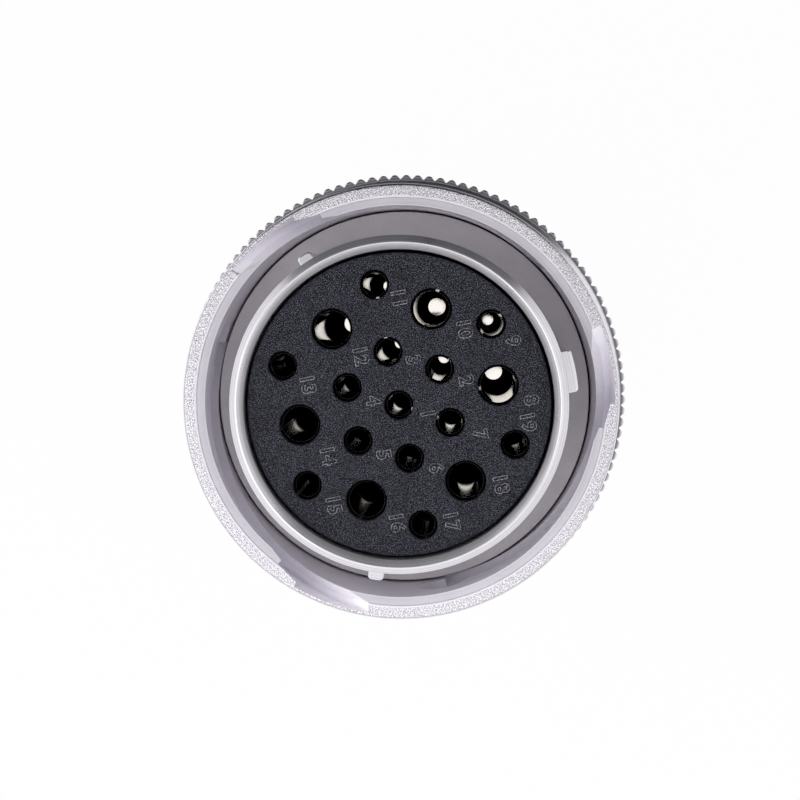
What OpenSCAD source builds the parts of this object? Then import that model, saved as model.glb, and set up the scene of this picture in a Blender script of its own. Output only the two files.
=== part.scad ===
// Nineteen-way circular cable plug with socket contacts and a quick-lock coupling ring.
// It stands on its cable end: the gland nut is on z = 0 and the mating face looks up.
// All sizes are in millimetres, and angles run anticlockwise from +X seen on the mating face.

/* [Contacts] */
// Diameter of the pins that the small sockets take
small_pin_d = 2.0; // [1.6:0.1:2.2]
// Diameter of the pins that the large sockets take
large_pin_d = 3.0; // [2.6:0.1:3.2]
// Wall of a socket around its bore
socket_wall = 0.20; // [0.16:0.02:0.3]
// Radial clearance of a socket in its insert hole
socket_clearance = 0.03; // [0.02:0.01:0.06]
// Distance of the socket tips below the insert face
tip_recess = 0.6; // [0.3:0.1:1.5]
// Depth of a socket's bore below the insert face
bore_depth = 27; // [22:0.5:27.5]
// Radius of the flat end of a bore, as a share of the bore's radius
bore_end_share = 0.58; // [0.4:0.02:0.8]
// Width of the saw cut that parts the tines
tine_cut_w = 0.3; // [0.2:0.05:0.5]
// Length of the saw cut from the tip
tine_cut_len = 9; // [5:0.5:12]
// Radial step of the collar that locks a contact between the inserts
collar_step = 0.35; // [0.2:0.05:0.5]
// Thickness of that collar
collar_t = 1.4; // [0.8:0.1:2]
// Length of a contact behind the split of the inserts
tail_len = 16; // [13:0.5:18]
// Depth of the solder cup
cup_depth = 5; // [3:0.5:5]

/* [Contact layout] */
// Pitch radius of the inner ring of small contacts
inner_pitch_r = 4.57; // [4.2:0.01:5]
// Pitch radius of the ring of large contacts
large_pitch_r = 8.5; // [8.2:0.05:9]
// Pitch radius of the outer ring of small contacts
outer_pitch_r = 10.3; // [10:0.05:12]
// Material left between the outermost holes and the insert's edge
insert_edge = 1.24; // [0.8:0.02:2]

/* [Inserts] */
// Gap around the insert in the nose
insert_gap = 0.26; // [0.1:0.02:0.5]
// Radial step of the insert's flange behind the nose bore
insert_flange_step = 0.47; // [0.3:0.01:0.8]
// Length of the front insert's flange
insert_flange_t = 3; // [2:0.25:5]
// Length of the rear insert
rear_insert_len = 8; // [6:0.5:9]
// Radial clearance of the insert flanges in the shell
insert_clearance = 0.05; // [0.02:0.01:0.1]
// Depth of the insert face below the nose rim
face_recess = 1.06; // [0.4:0.02:2]
// Chamfer on the edges of the contact holes
hole_chamfer = 0.12; // [0.05:0.01:0.2]
// Width of the insert's locating key
insert_key_w = 2.2; // [1.5:0.1:3]
// Height of the insert's locating key
insert_key_h = 0.35; // [0.2:0.05:0.4]
// Thickness of the ring that locks the inserts
lock_ring_t = 2.5; // [1.5:0.25:3]
// Radial width of the ring that locks the inserts
lock_ring_w = 1.3; // [0.8:0.05:1.4]

/* [Shell] */
// Wall of the nose
nose_wall = 1.2; // [1:0.05:2]
// Height of the nose rim above the coupling ring
nose_rise = 3.76; // [2:0.02:6]
// Height of the rim's two chamfers
rim_chamfer = 0.7; // [0.3:0.05:0.9]
// Place of the rim's ridge across the nose wall, as a share from the inside
rim_share = 0.47; // [0.3:0.01:0.7]
// Width of the master key
master_key_w = 3.57; // [2:0.05:5]
// Height of the master key over the nose
master_key_h = 0.82; // [0.4:0.02:1.2]
// Angle of the master key
master_key_angle = 30; // [0:1:359]
// Width of the two minor keys
minor_key_w = 1.3; // [0.8:0.05:2]
// Height of the minor keys over the nose
minor_key_h = 0.67; // [0.4:0.01:1]
// Angles of the minor keys
minor_key_angles = [141, 281]; // [0:1:359]
// Depth of the key ends below the nose rim
key_recess = 0.85; // [0.7:0.05:3]
// Thickness of the flange that carries the gasket
flange_t = 2.5; // [1.5:0.1:4]
// Wall of the journal that the coupling ring runs on
journal_wall = 1.75; // [1.5:0.05:2]
// Radial step from the journal down to the rear thread
thread_step = 0.3; // [0.2:0.05:0.4]
// Thickness of the face gasket
gasket_t = 1.0; // [0.5:0.1:2]
// Length of the thread that holds the backshell
thread_len = 8; // [6:0.5:10]
// Section diameter of the shell's seal ring
seal_d = 0.8; // [0.6:0.05:0.85]
// Axial width of the seal ring's groove
seal_groove_w = 1.1; // [0.9:0.05:1.4]
// Land between that groove and the shell's shoulder
seal_land = 0.8; // [0.5:0.1:1.5]

/* [Coupling ring] */
// Space between the nose and the ring for the mating shell
mating_gap = 2.62; // [2.4:0.02:4]
// Depth of that space
mating_depth = 8.5; // [7:0.1:12]
// Gap between the ring and the pieces inside it
ring_gap = 0.45; // [0.3:0.05:0.6]
// Radial running clearance of the ring and the washer on the journal
run_clearance = 0.05; // [0.02:0.01:0.1]
// Radial depth of the locking grooves
groove_depth = 1.45; // [1:0.05:2]
// Axial width of the locking grooves
groove_w = 4.25; // [3:0.05:4.5]
// Number of locking grooves
groove_count = 3; // [2:1:3]
// Angle of the end wall of the first entry notch
notch_angle = 40.6; // [0:0.2:119.8]
// Width of an entry notch at its outer edge, in degrees
notch_outer = 22; // [18:0.5:25]
// Width of an entry notch at the bore, in degrees
notch_inner = 29; // [27:0.5:34]
// Turn from the end wall to the locked position, in degrees
lock_turn = 99; // [80:1:105]
// Travel of the grooves along the axis for each degree of turn
groove_slope = 0.075; // [0.05:0.005:0.08]
// Depth of the groove's front edge where the lip starts
lip_edge = 0.25; // [0.15:0.05:0.5]
// Radius of the pocket at the locked position
detent_r = 2.2; // [1.2:0.1:2.4]
// Wall outside the grooves at the front
rim_wall = 0.4; // [0.35:0.05:1]
// Width of the inner chamfer at the front
mouth_chamfer = 0.7; // [0.3:0.05:0.9]
// Height of the shoulder in front of the knurl
knurl_shoulder = 0.95; // [0.5:0.05:2]
// Height of the knurl teeth
knurl_h = 0.35; // [0.2:0.05:0.6]
// Number of knurl teeth
knurl_count = 120; // [60:2:130]
// Distance of the knurl behind the ring's front
knurl_setback = 9; // [8:0.25:12]
// Plain margin behind the knurl
knurl_margin = 1.2; // [0.8:0.1:3]
// Thickness of the shoulder that runs on the journal
shoulder_t = 4.7; // [3:0.1:6]
// Length of the skirt behind that shoulder
skirt_len = 5; // [3:0.25:6]

/* [Ring retention] */
// Height of the wave spring as fitted
spring_h = 1.5; // [1.2:0.1:2]
// Thickness of the spring strip
spring_t = 0.3; // [0.2:0.05:0.4]
// Number of waves
spring_waves = 4; // [3:1:6]
// Thickness of the thrust washer
thrust_t = 0.8; // [0.5:0.1:1.5]
// Thickness of the retaining clip
clip_t = 1.2; // [0.8:0.1:1.6]
// Depth of the clip's groove
clip_groove = 0.7; // [0.4:0.05:0.8]
// Opening of the clip, in degrees
clip_opening = 24; // [10:1:60]
// Land between the backshell and the clip
clip_land = 0.8; // [0.5:0.1:2]

/* [Backshell and gland] */
// Length of the wiring chamber
chamber_len = 12.5; // [11:0.5:24]
// Wall of the wiring chamber
chamber_wall = 3.0; // [2.2:0.1:3.5]
// Diameter of the cable hole in the grommet
cable_d = 12; // [8:0.5:13]
// Wall of the grommet
grommet_wall = 3.2; // [2:0.1:4]
// Length of the grommet
grommet_len = 10.5; // [9:0.5:12]
// Radial clearance of the grommet and of the washer's hole
grommet_clearance = 0.05; // [0.02:0.01:0.1]
// Length of the grommet that stands out of the spigot
grommet_stand = 0.8; // [0.4:0.1:1.5]
// Wall of the gland spigot
spigot_wall = 1.25; // [1:0.05:2]
// Radial clearance of the screw threads
thread_clearance = 0.03; // [0.02:0.01:0.06]
// Radius of the web behind the grommet, over the cable's radius
web_over = 1.0; // [0.5:0.1:1.5]
// Thickness of that web
web_t = 1.8; // [1:0.1:3]
// Height of the neck's shoulder over the spigot
neck_step = 2.1; // [1.5:0.1:3]
// Gap between the gland nut and that shoulder
neck_gap = 1.5; // [1:0.25:3]
// Length of the curve from the neck to the full width
neck_curve = 8; // [6:0.5:10]
// Depth of the spanner flats
flat_depth = 1.0; // [0.5:0.1:1.2]
// Length of the spanner flats
flat_len = 6; // [4:0.5:8]
// Wall of the gland nut at its flats
nut_wall = 1.45; // [1.2:0.05:3]
// Length of the gland nut
nut_len = 14; // [12:0.5:14.5]
// Thickness of the gland nut's rear wall
nut_floor = 3; // [2:0.25:4]
// Radius of the nut's hole over the cable's radius
nut_hole_over = 1.5; // [0.8:0.1:2]
// Thickness of the slip washer
slip_t = 1.2; // [0.8:0.1:2]

/* [Hidden] */
$fn = 96;
cut = 1;
small_r = small_pin_d / 2 + socket_wall;
large_r = large_pin_d / 2 + socket_wall;
small_hole_r = small_r + socket_clearance;
large_hole_r = large_r + socket_clearance;

insert_r = max(outer_pitch_r + small_hole_r, large_pitch_r + large_hole_r) + insert_edge;
nose_bore_r = insert_r + insert_gap;
nose_r = nose_bore_r + nose_wall;
insert_flange_r = nose_bore_r + insert_flange_step;
rear_bore_r = insert_flange_r + insert_clearance;
journal_r = rear_bore_r + journal_wall;
thread_r = journal_r - thread_step;

ring_bore_r = nose_r + mating_gap;
flange_r = ring_bore_r - ring_gap;
groove_r = ring_bore_r + groove_depth;
ring_front_r = groove_r + rim_wall;
knurl_root_r = ring_front_r + knurl_shoulder;
knurl_r = knurl_root_r + knurl_h;
journal_bore_r = journal_r + run_clearance;

cable_r = cable_d / 2;
grommet_r = cable_r + grommet_wall;
spigot_bore_r = grommet_r + grommet_clearance;
spigot_r = spigot_bore_r + spigot_wall;
nut_bore_r = spigot_r + thread_clearance;
web_r = cable_r + web_over;
neck_r = spigot_r + neck_step;
backshell_bore_r = thread_r + thread_clearance;
chamber_r = flange_r - chamber_wall;

// Heights, from the gland nut's rear face to the nose rim
z_slip = nut_floor;
z_grommet = z_slip + slip_t;
z_spigot = z_grommet + grommet_stand;
z_web = z_grommet + grommet_len;
z_chamber = z_web + web_t;
z_neck = nut_len + neck_gap;
z_shell = z_chamber + chamber_len;
z_backshell_front = z_shell + thread_len;
z_seal_high = z_backshell_front - seal_land;
z_seal_low = z_seal_high - seal_groove_w;
z_clip = z_backshell_front + clip_land;
z_shoulder = z_clip + clip_t;
z_thrust = z_shoulder + shoulder_t;
z_spring = z_thrust + thrust_t;
z_flange = z_spring + spring_h;
z_gasket = z_flange + flange_t;
z_floor = z_gasket + gasket_t;
z_face = z_floor + mating_depth;
z_rim = z_face + nose_rise;
z_ring_rear = z_shoulder - skirt_len;

z_insert = z_rim - face_recess;
z_split = z_flange - insert_flange_t;
z_rear_insert = z_split - rear_insert_len;
z_lock_ring = z_rear_insert - lock_ring_t;
z_tail = z_split - tail_len;

// Contact numbers: 1 in the middle, 2 to 7 on the inner ring, then large and small by turns
function is_large(n) = n >= 8 && n % 2 == 0;
function contact_r(n) = n == 1 ? 0 : n <= 7 ? inner_pitch_r : is_large(n) ? large_pitch_r : outer_pitch_r;
function contact_angle(n) = n <= 7 ? 60 * ((n - 1) % 6) : 30 * (n - 7);
function socket_r(n) = is_large(n) ? large_r : small_r;
function pin_r(n) = (is_large(n) ? large_pin_d : small_pin_d) / 2;

// Evenly spaced values from a to b
function span(a, b, steps) = [for (i = [0:steps]) a + (b - a) * i / steps];

// A plain ring between two heights
module tube(r_out, r_in, z_low, z_high) {
  translate([0, 0, z_low])
    difference() {
      cylinder(r = r_out, h = z_high - z_low);
      translate([0, 0, -cut]) cylinder(r = r_in, h = z_high - z_low + 2 * cut);
    }
}

// Puts its children at the place of one contact
module at_contact(n) {
  rotate(contact_angle(n)) translate([contact_r(n), 0, 0]) children();
}

// A skin of quadrilaterals over rings of points, closed at both ends or joined into a loop
module skinned(rings, loop) {
  sides = len(rings[0]);
  count = len(rings);
  last = loop ? count - 1 : count - 2;
  walls = [
    for (i = [0:last], j = [0:sides - 1])
      let (k = (i + 1) % count, m = (j + 1) % sides)
        each [[i * sides + j, i * sides + m, k * sides + m], [i * sides + j, k * sides + m, k * sides + j]]
  ];
  first_cap = [for (j = [sides - 1:-1:0]) j];
  last_cap = [for (j = [0:sides - 1]) (count - 1) * sides + j];
  polyhedron([for (ring = rings, p = ring) p], loop ? walls : concat(walls, [first_cap, last_cap]));
}

// A key on the nose, with a round outer face
module nose_key(angle, width, height) {
  root = nose_wall / 2;
  rotate(angle)
    intersection() {
      translate([nose_r - root, -width / 2, z_floor])
        cube([height + root, width, z_rim - key_recess - z_floor]);
      cylinder(r = nose_r + height, h = z_rim);
    }
}

// The locating key of the inserts, or its slot with some play
module insert_key(z_low, z_high, play) {
  rotate(master_key_angle)
    translate([insert_flange_r - insert_flange_step, -insert_key_w / 2 - play, z_low])
      cube([insert_flange_step + insert_key_h + play, insert_key_w + 2 * play, z_high - z_low]);
}

// The shell up to its flange: the nose on it is of the same casting
module plug_shell() {
  color("silver")
    difference() {
      rotate_extrude()
        polygon([
          [rear_bore_r, z_shell],
          [thread_r, z_shell],
          [thread_r, z_seal_low],
          [thread_r - seal_d, z_seal_low],
          [thread_r - seal_d, z_seal_high],
          [thread_r, z_seal_high],
          [thread_r, z_backshell_front],
          [journal_r, z_backshell_front],
          [journal_r, z_clip],
          [journal_r - clip_groove, z_clip],
          [journal_r - clip_groove, z_shoulder],
          [journal_r, z_shoulder],
          [journal_r, z_flange],
          [flange_r, z_flange],
          [flange_r, z_gasket],
          [nose_bore_r, z_gasket],
          [nose_bore_r, z_flange],
          [rear_bore_r, z_flange]
        ]);
      insert_key(z_shell - cut, z_flange, insert_clearance);
    }
}

// The keyed nose that the mating shell slides over
module shell_nose() {
  rim_r = nose_bore_r + nose_wall * rim_share;
  color("silver") {
    rotate_extrude()
      polygon([
        [nose_bore_r, z_gasket],
        [nose_r, z_gasket],
        [nose_r, z_rim - rim_chamfer],
        [rim_r, z_rim],
        [nose_bore_r, z_rim - rim_chamfer]
      ]);
    nose_key(master_key_angle, master_key_w, master_key_h);
    for (angle = minor_key_angles) nose_key(angle, minor_key_w, minor_key_h);
  }
}

module face_gasket() {
  color("dimgray") tube(flange_r, nose_r, z_gasket, z_floor);
}

// The holes of both inserts, between two heights
module contact_holes(z_low, z_high, extra) {
  for (n = [1:19])
    at_contact(n)
      translate([0, 0, z_low]) cylinder(r = socket_r(n) + socket_clearance + extra, h = z_high - z_low);
}

module front_insert() {
  edge = 0.3;
  color("black")
    difference() {
      union() {
        rotate_extrude()
          polygon([
            [0, z_split],
            [insert_flange_r, z_split],
            [insert_flange_r, z_flange],
            [insert_r, z_flange],
            [insert_r, z_insert - edge],
            [insert_r - edge, z_insert],
            [0, z_insert]
          ]);
        insert_key(z_split, z_flange, 0);
      }
      contact_holes(z_split - cut, z_insert + cut, 0);
      for (n = [1:19])
        at_contact(n)
          translate([0, 0, z_insert - hole_chamfer])
            cylinder(
              r1 = socket_r(n) + socket_clearance,
              r2 = socket_r(n) + socket_clearance + 2 * hole_chamfer,
              h = 2 * hole_chamfer
            );
    }
}

module rear_insert() {
  color("black")
    difference() {
      union() {
        translate([0, 0, z_rear_insert]) cylinder(r = insert_flange_r, h = rear_insert_len);
        insert_key(z_rear_insert, z_split, 0);
      }
      contact_holes(z_rear_insert - cut, z_split + cut, 0);
      contact_holes(z_split - collar_t, z_split + cut, collar_step);
    }
}

// Threaded ring with two slots for a pin spanner
module insert_lock_ring() {
  slot_w = 2;
  slot_depth = lock_ring_t / 2;
  color("silver")
    difference() {
      tube(insert_flange_r, insert_flange_r - lock_ring_w, z_lock_ring, z_rear_insert);
      translate([-insert_flange_r - cut, -slot_w / 2, z_lock_ring - cut])
        cube([2 * (insert_flange_r + cut), slot_w, slot_depth + cut]);
    }
}

// One turned socket: split tines in front, a locking collar and a solder cup behind
module contact(n) {
  r = socket_r(n);
  bore_r = pin_r(n);
  end_r = bore_r * bore_end_share;
  lead = 0.6 * socket_wall;
  cup_open = 0.7 * cup_depth;
  tip = z_insert - tip_recess;
  bore_end = z_insert - bore_depth;
  color("tan")
    at_contact(n)
      difference() {
        rotate_extrude()
          polygon([
            [0, z_tail + cup_depth],
            [bore_r, z_tail + cup_depth],
            [bore_r, z_tail],
            [r, z_tail],
            [r, z_split - collar_t],
            [r + collar_step, z_split - collar_t],
            [r + collar_step, z_split],
            [r, z_split],
            [r, tip],
            [bore_r + lead, tip],
            [bore_r, tip - 2 * lead],
            [bore_r, bore_end + bore_r - end_r],
            [end_r, bore_end],
            [0, bore_end]
          ]);
        translate([-r - cut, -tine_cut_w / 2, tip - tine_cut_len])
          cube([2 * (r + cut), tine_cut_w, tine_cut_len + cut]);
        translate([0, -r - cut, z_tail - cut]) cube([r + cut, 2 * (r + cut), cup_open + cut]);
      }
}

// Depths below the ring's front, by the angle from the notch's end wall
function lip_depth(turn, start) = turn < start ? -cut : lip_edge + groove_slope * (turn - start);
function groove_floor(turn) = groove_w + groove_slope * (turn - notch_outer);
function outer_floor(turn) = turn < notch_outer ? groove_w * turn / notch_outer : groove_floor(turn);
function inner_floor(turn) =
  let (ramp_start = 0.1 * notch_outer, ramp_depth = 0.4 * groove_w, blend = 2 * notch_outer)
    lookup(turn, [
      [ramp_start, 0],
      [notch_outer, ramp_depth],
      [blend, groove_floor(blend)],
      [lock_turn, groove_floor(lock_turn)]
    ]);

// One locking groove: it opens at the entry notch and winds clockwise under the lip
module locking_groove() {
  inner_r = ring_bore_r - ring_gap;
  hair = 0.02;
  turns = concat(
    span(0, notch_outer - hair, 4),
    span(notch_outer + hair, notch_inner - hair, 2),
    span(notch_inner + hair, lock_turn, 14)
  );
  rings = [
    for (t = turns)
      let (x = cos(-t), y = sin(-t))
        [
          [inner_r * x, inner_r * y, z_face - lip_depth(t, notch_inner)],
          [groove_r * x, groove_r * y, z_face - lip_depth(t, notch_outer)],
          [groove_r * x, groove_r * y, z_face - outer_floor(t)],
          [inner_r * x, inner_r * y, z_face - inner_floor(t)]
        ]
  ];
  skinned(rings, false);
  rotate(-lock_turn)
    translate([inner_r, 0, z_face - lip_depth(lock_turn, notch_inner)])
      rotate([0, 90, 0]) cylinder(r = detent_r, h = groove_r - inner_r);
}

module knurl_outline() {
  step = 360 / knurl_count;
  foot = 0.36;
  crest = 0.12;
  tooth = [[-foot, 0], [-crest, 1], [crest, 1], [foot, 0]];
  polygon([
    for (i = [0:knurl_count - 1], p = tooth)
      let (angle = step * (i + p[0]), r = knurl_root_r + knurl_h * p[1]) [r * cos(angle), r * sin(angle)]
  ]);
}

module coupling_ring() {
  edge = 0.25;
  band = 0.15;
  knurl_low = z_ring_rear + knurl_margin;
  knurl_high = z_face - knurl_setback;
  collar_r = knurl_root_r - band;
  front_taper = collar_r - ring_front_r;
  color("silver")
    difference() {
      union() {
        rotate_extrude()
          polygon([
            [ring_bore_r, z_ring_rear],
            [collar_r - edge, z_ring_rear],
            [collar_r, z_ring_rear + edge],
            [collar_r, knurl_high],
            [ring_front_r, knurl_high + front_taper],
            [ring_front_r, z_face - edge],
            [ring_front_r - edge, z_face],
            [ring_bore_r, z_face]
          ]);
        translate([0, 0, knurl_low])
          linear_extrude(knurl_high - knurl_low)
            difference() {
              knurl_outline();
              circle(r = ring_front_r);
            }
      }
      translate([0, 0, z_face - mouth_chamfer])
        cylinder(r1 = ring_bore_r, r2 = ring_bore_r + 2 * mouth_chamfer, h = 2 * mouth_chamfer);
      for (i = [0:groove_count - 1]) rotate(notch_angle + 360 * i / groove_count) locking_groove();
    }
}

// The shoulder inside the ring that runs on the journal: it is of the same casting
module ring_shoulder() {
  color("silver") tube(ring_bore_r, journal_bore_r, z_shoulder, z_thrust);
}

module wave_spring() {
  hair = 0.02;
  inner_r = journal_r + 2 * run_clearance;
  outer_r = flange_r - run_clearance;
  stations = 96;
  swing = (spring_h - spring_t) / 2 - hair;
  middle = z_spring + spring_h / 2;
  rings = [
    for (i = [0:stations - 1])
      let (a = 360 * i / stations, x = cos(a), y = sin(a), z = middle + swing * cos(spring_waves * a))
        [
          [inner_r * x, inner_r * y, z - spring_t / 2],
          [inner_r * x, inner_r * y, z + spring_t / 2],
          [outer_r * x, outer_r * y, z + spring_t / 2],
          [outer_r * x, outer_r * y, z - spring_t / 2]
        ]
  ];
  color("lightgray") skinned(rings, true);
}

module thrust_washer() {
  color("lightgray") tube(flange_r, journal_bore_r, z_thrust, z_spring);
}

// Open spring clip behind the coupling ring
module retaining_clip() {
  inner_r = journal_r - clip_groove + run_clearance;
  far = 2 * flange_r;
  half = clip_opening / 2;
  color("lightgray")
    difference() {
      tube(flange_r, inner_r, z_clip, z_shoulder);
      translate([0, 0, z_clip - cut])
        linear_extrude(clip_t + 2 * cut)
          polygon([[0, 0], [far * cos(half), -far * sin(half)], [far * cos(half), far * sin(half)]]);
    }
}

module shell_seal() {
  color("black")
    rotate_extrude()
      translate([thread_r - seal_d / 2, (z_seal_low + z_seal_high) / 2]) circle(d = seal_d);
}

module backshell() {
  edge = 0.5;
  seat = spigot_bore_r - web_r;
  curve = [
    for (t = [0:10:90])
      [neck_r + (flange_r - neck_r) * sin(t), z_neck + edge + neck_curve * (1 - cos(t))]
  ];
  flat_low = z_neck + neck_curve + 2 * edge;
  color("silver")
    difference() {
      rotate_extrude()
        polygon(concat(
          [
            [spigot_bore_r, z_spigot],
            [spigot_r - edge, z_spigot],
            [spigot_r, z_spigot + edge],
            [spigot_r, z_neck],
            [neck_r - edge, z_neck]
          ],
          curve,
          [
            [flange_r, z_backshell_front - edge],
            [flange_r - edge, z_backshell_front],
            [backshell_bore_r, z_backshell_front],
            [backshell_bore_r, z_shell],
            [chamber_r, z_shell],
            [chamber_r, z_chamber + chamber_r - web_r],
            [web_r, z_chamber],
            [web_r, z_web],
            [spigot_bore_r, z_web - seat]
          ]
        ));
      for (side = [0, 180])
        rotate(side)
          translate([-flange_r, flange_r - flat_depth, flat_low]) cube([2 * flange_r, flange_r, flat_len]);
    }
}

// Rubber bush with a tapered front that the nut presses into the backshell's seat
module cable_grommet() {
  seat = spigot_bore_r - web_r;
  color("dimgray")
    rotate_extrude()
      polygon([
        [cable_r, z_grommet],
        [grommet_r, z_grommet],
        [grommet_r, z_web - seat],
        [web_r, z_web - grommet_clearance],
        [cable_r, z_web - grommet_clearance]
      ]);
}

module slip_washer() {
  color("lightgray") tube(spigot_r - thread_clearance, cable_r + web_over, z_slip, z_grommet);
}

// Hexagon nut, with the corners turned down at both ends
module gland_nut() {
  flats = nut_bore_r + nut_wall;
  corner_cut = 0.6;
  corner_r = flats / cos(30) - corner_cut;
  turned = corner_r - flats;
  color("silver")
    difference() {
      intersection() {
        rotate_extrude()
          polygon([
            [0, 0],
            [flats - turned, 0],
            [corner_r, turned],
            [corner_r, nut_len - turned],
            [flats - turned, nut_len],
            [0, nut_len]
          ]);
        cylinder(r = flats / cos(30), h = nut_len, $fn = 6);
      }
      translate([0, 0, nut_floor]) cylinder(r = nut_bore_r, h = nut_len);
      translate([0, 0, -cut]) cylinder(r = cable_r + nut_hole_over, h = nut_len);
    }
}

plug_shell();
shell_nose();
face_gasket();
front_insert();
rear_insert();
insert_lock_ring();
coupling_ring();
ring_shoulder();
wave_spring();
thrust_washer();
retaining_clip();
shell_seal();
backshell();
cable_grommet();
slip_washer();
gland_nut();
for (n = [1:19]) contact(n);
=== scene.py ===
"""Nineteen-way circular cable plug with a knurled coupling ring, dressed for a studio picture.

Each class is one sub-assembly: its fields are sizes in millimetres, and its methods build fine
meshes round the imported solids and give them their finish. Angles are in degrees, anticlockwise
from +X as seen on the mating face, and heights run from the gland nut's rear face to the nose rim.
"""

from __future__ import annotations

import logging
import math
from dataclasses import dataclass, field
from enum import Enum
from typing import Any, Callable, Mapping, Optional, Sequence, Union

import bmesh
import bpy
from mathutils import Matrix, Vector

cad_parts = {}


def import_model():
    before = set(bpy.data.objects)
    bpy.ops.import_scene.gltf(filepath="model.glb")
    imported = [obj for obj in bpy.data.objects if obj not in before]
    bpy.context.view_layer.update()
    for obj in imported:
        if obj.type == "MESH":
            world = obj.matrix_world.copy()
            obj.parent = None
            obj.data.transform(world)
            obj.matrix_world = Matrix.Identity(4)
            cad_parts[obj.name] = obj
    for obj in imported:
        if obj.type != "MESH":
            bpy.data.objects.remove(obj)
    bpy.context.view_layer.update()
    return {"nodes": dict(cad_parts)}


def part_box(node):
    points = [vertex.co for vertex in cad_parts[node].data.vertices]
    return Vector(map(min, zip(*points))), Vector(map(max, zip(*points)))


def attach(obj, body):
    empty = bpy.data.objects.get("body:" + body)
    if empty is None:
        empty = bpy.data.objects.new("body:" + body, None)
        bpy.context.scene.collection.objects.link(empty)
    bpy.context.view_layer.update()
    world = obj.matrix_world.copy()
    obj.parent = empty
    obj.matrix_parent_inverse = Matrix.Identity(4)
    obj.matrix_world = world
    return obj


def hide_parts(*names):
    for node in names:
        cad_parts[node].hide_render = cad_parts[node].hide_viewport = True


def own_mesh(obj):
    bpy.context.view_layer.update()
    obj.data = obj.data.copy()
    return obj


LOG = logging.getLogger("cable_plug")
MM = 0.001
SHARP_ANGLE = math.radians(34)
WELD = 1e-5
MASTER_KEY_ANGLE = 30.0
# Reach of a cutting shape past what it cuts
OVER = 1.0

Corner = tuple[float, float, float]
Colour = tuple[float, float, float]
# Where a soft step leaves 0 and where it reaches 1
Band = tuple[float, float]


class Body(Enum):
    """Bodies of the frame that the pieces ride on."""

    PLUG = "plug_body"
    RING = "coupling_ring"
    SLIP = "slip_washer"
    NUT = "gland_nut"


class Slot(Enum):
    """Material slots of the record."""

    CAST = "die_cast_metal"
    TURNED = "turned_metal"
    SPRING = "spring_steel"
    PLASTIC = "insert_plastic"
    GASKET = "gasket_rubber"
    SEAL = "seal_rubber"
    PLATING = "contact_plating"


class Join(Enum):
    """Ways to combine two closed meshes."""

    ADD = "UNION"
    CUT = "DIFFERENCE"
    COMMON = "INTERSECT"


class Edge(float, Enum):
    """Usual roundings of an edge."""

    SHARP = 0.0
    CRISP = 0.05
    FINE = 0.1
    BROKEN = 0.15
    SOFT = 0.2
    ROUND = 0.3


# Shader maths


class Value:
    """A number that varies over a surface: arithmetic on it adds Math nodes."""

    def __init__(self, graph: Graph, socket: bpy.types.NodeSocket) -> None:
        """Wraps one output socket of a graph."""
        self.graph = graph
        self.socket = socket

    def __add__(self, other: Term) -> Value:
        """Sum with a value or a number."""
        return self.graph.math("ADD", self, other)

    def __mul__(self, other: Term) -> Value:
        """Product with a value or a number."""
        return self.graph.math("MULTIPLY", self, other)

    __radd__ = __add__
    __rmul__ = __mul__

    def __sub__(self, other: Term) -> Value:
        """Difference from a value or a number."""
        return self.graph.math("SUBTRACT", self, other)

    def __rsub__(self, other: Term) -> Value:
        """Difference of a number and this value."""
        return self.graph.math("SUBTRACT", other, self)

    def __truediv__(self, other: Term) -> Value:
        """Quotient by a value or a number."""
        return self.graph.math("DIVIDE", self, other)

    def __rtruediv__(self, other: Term) -> Value:
        """Quotient of a number by this value."""
        return self.graph.math("DIVIDE", other, self)

    def __pow__(self, other: Term) -> Value:
        """Power of this value."""
        return self.graph.math("POWER", self, other)

    def __rpow__(self, other: Term) -> Value:
        """Power of a number, with this value as the exponent."""
        return self.graph.math("POWER", other, self)

    def largest(self, other: Term) -> Value:
        """The larger of this and another value."""
        return self.graph.math("MAXIMUM", self, other)

    def rise(self, low: float, high: float, origin: float = 0.0) -> Value:
        """A smooth step.

        Args:
            low: Where the result leaves 0, from the origin.
            high: Where the result reaches 1, from the origin.
            origin: Where both are measured from.

        Returns:
            A value from 0 to 1.
        """
        sockets = {"Value": self, "From Min": origin + low, "From Max": origin + high}
        made = self.graph.node("ShaderNodeMapRange", {"interpolation_type": "SMOOTHSTEP"}, sockets)
        return Value(self.graph, made.outputs["Result"])


Term = Union[Value, float]


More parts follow.
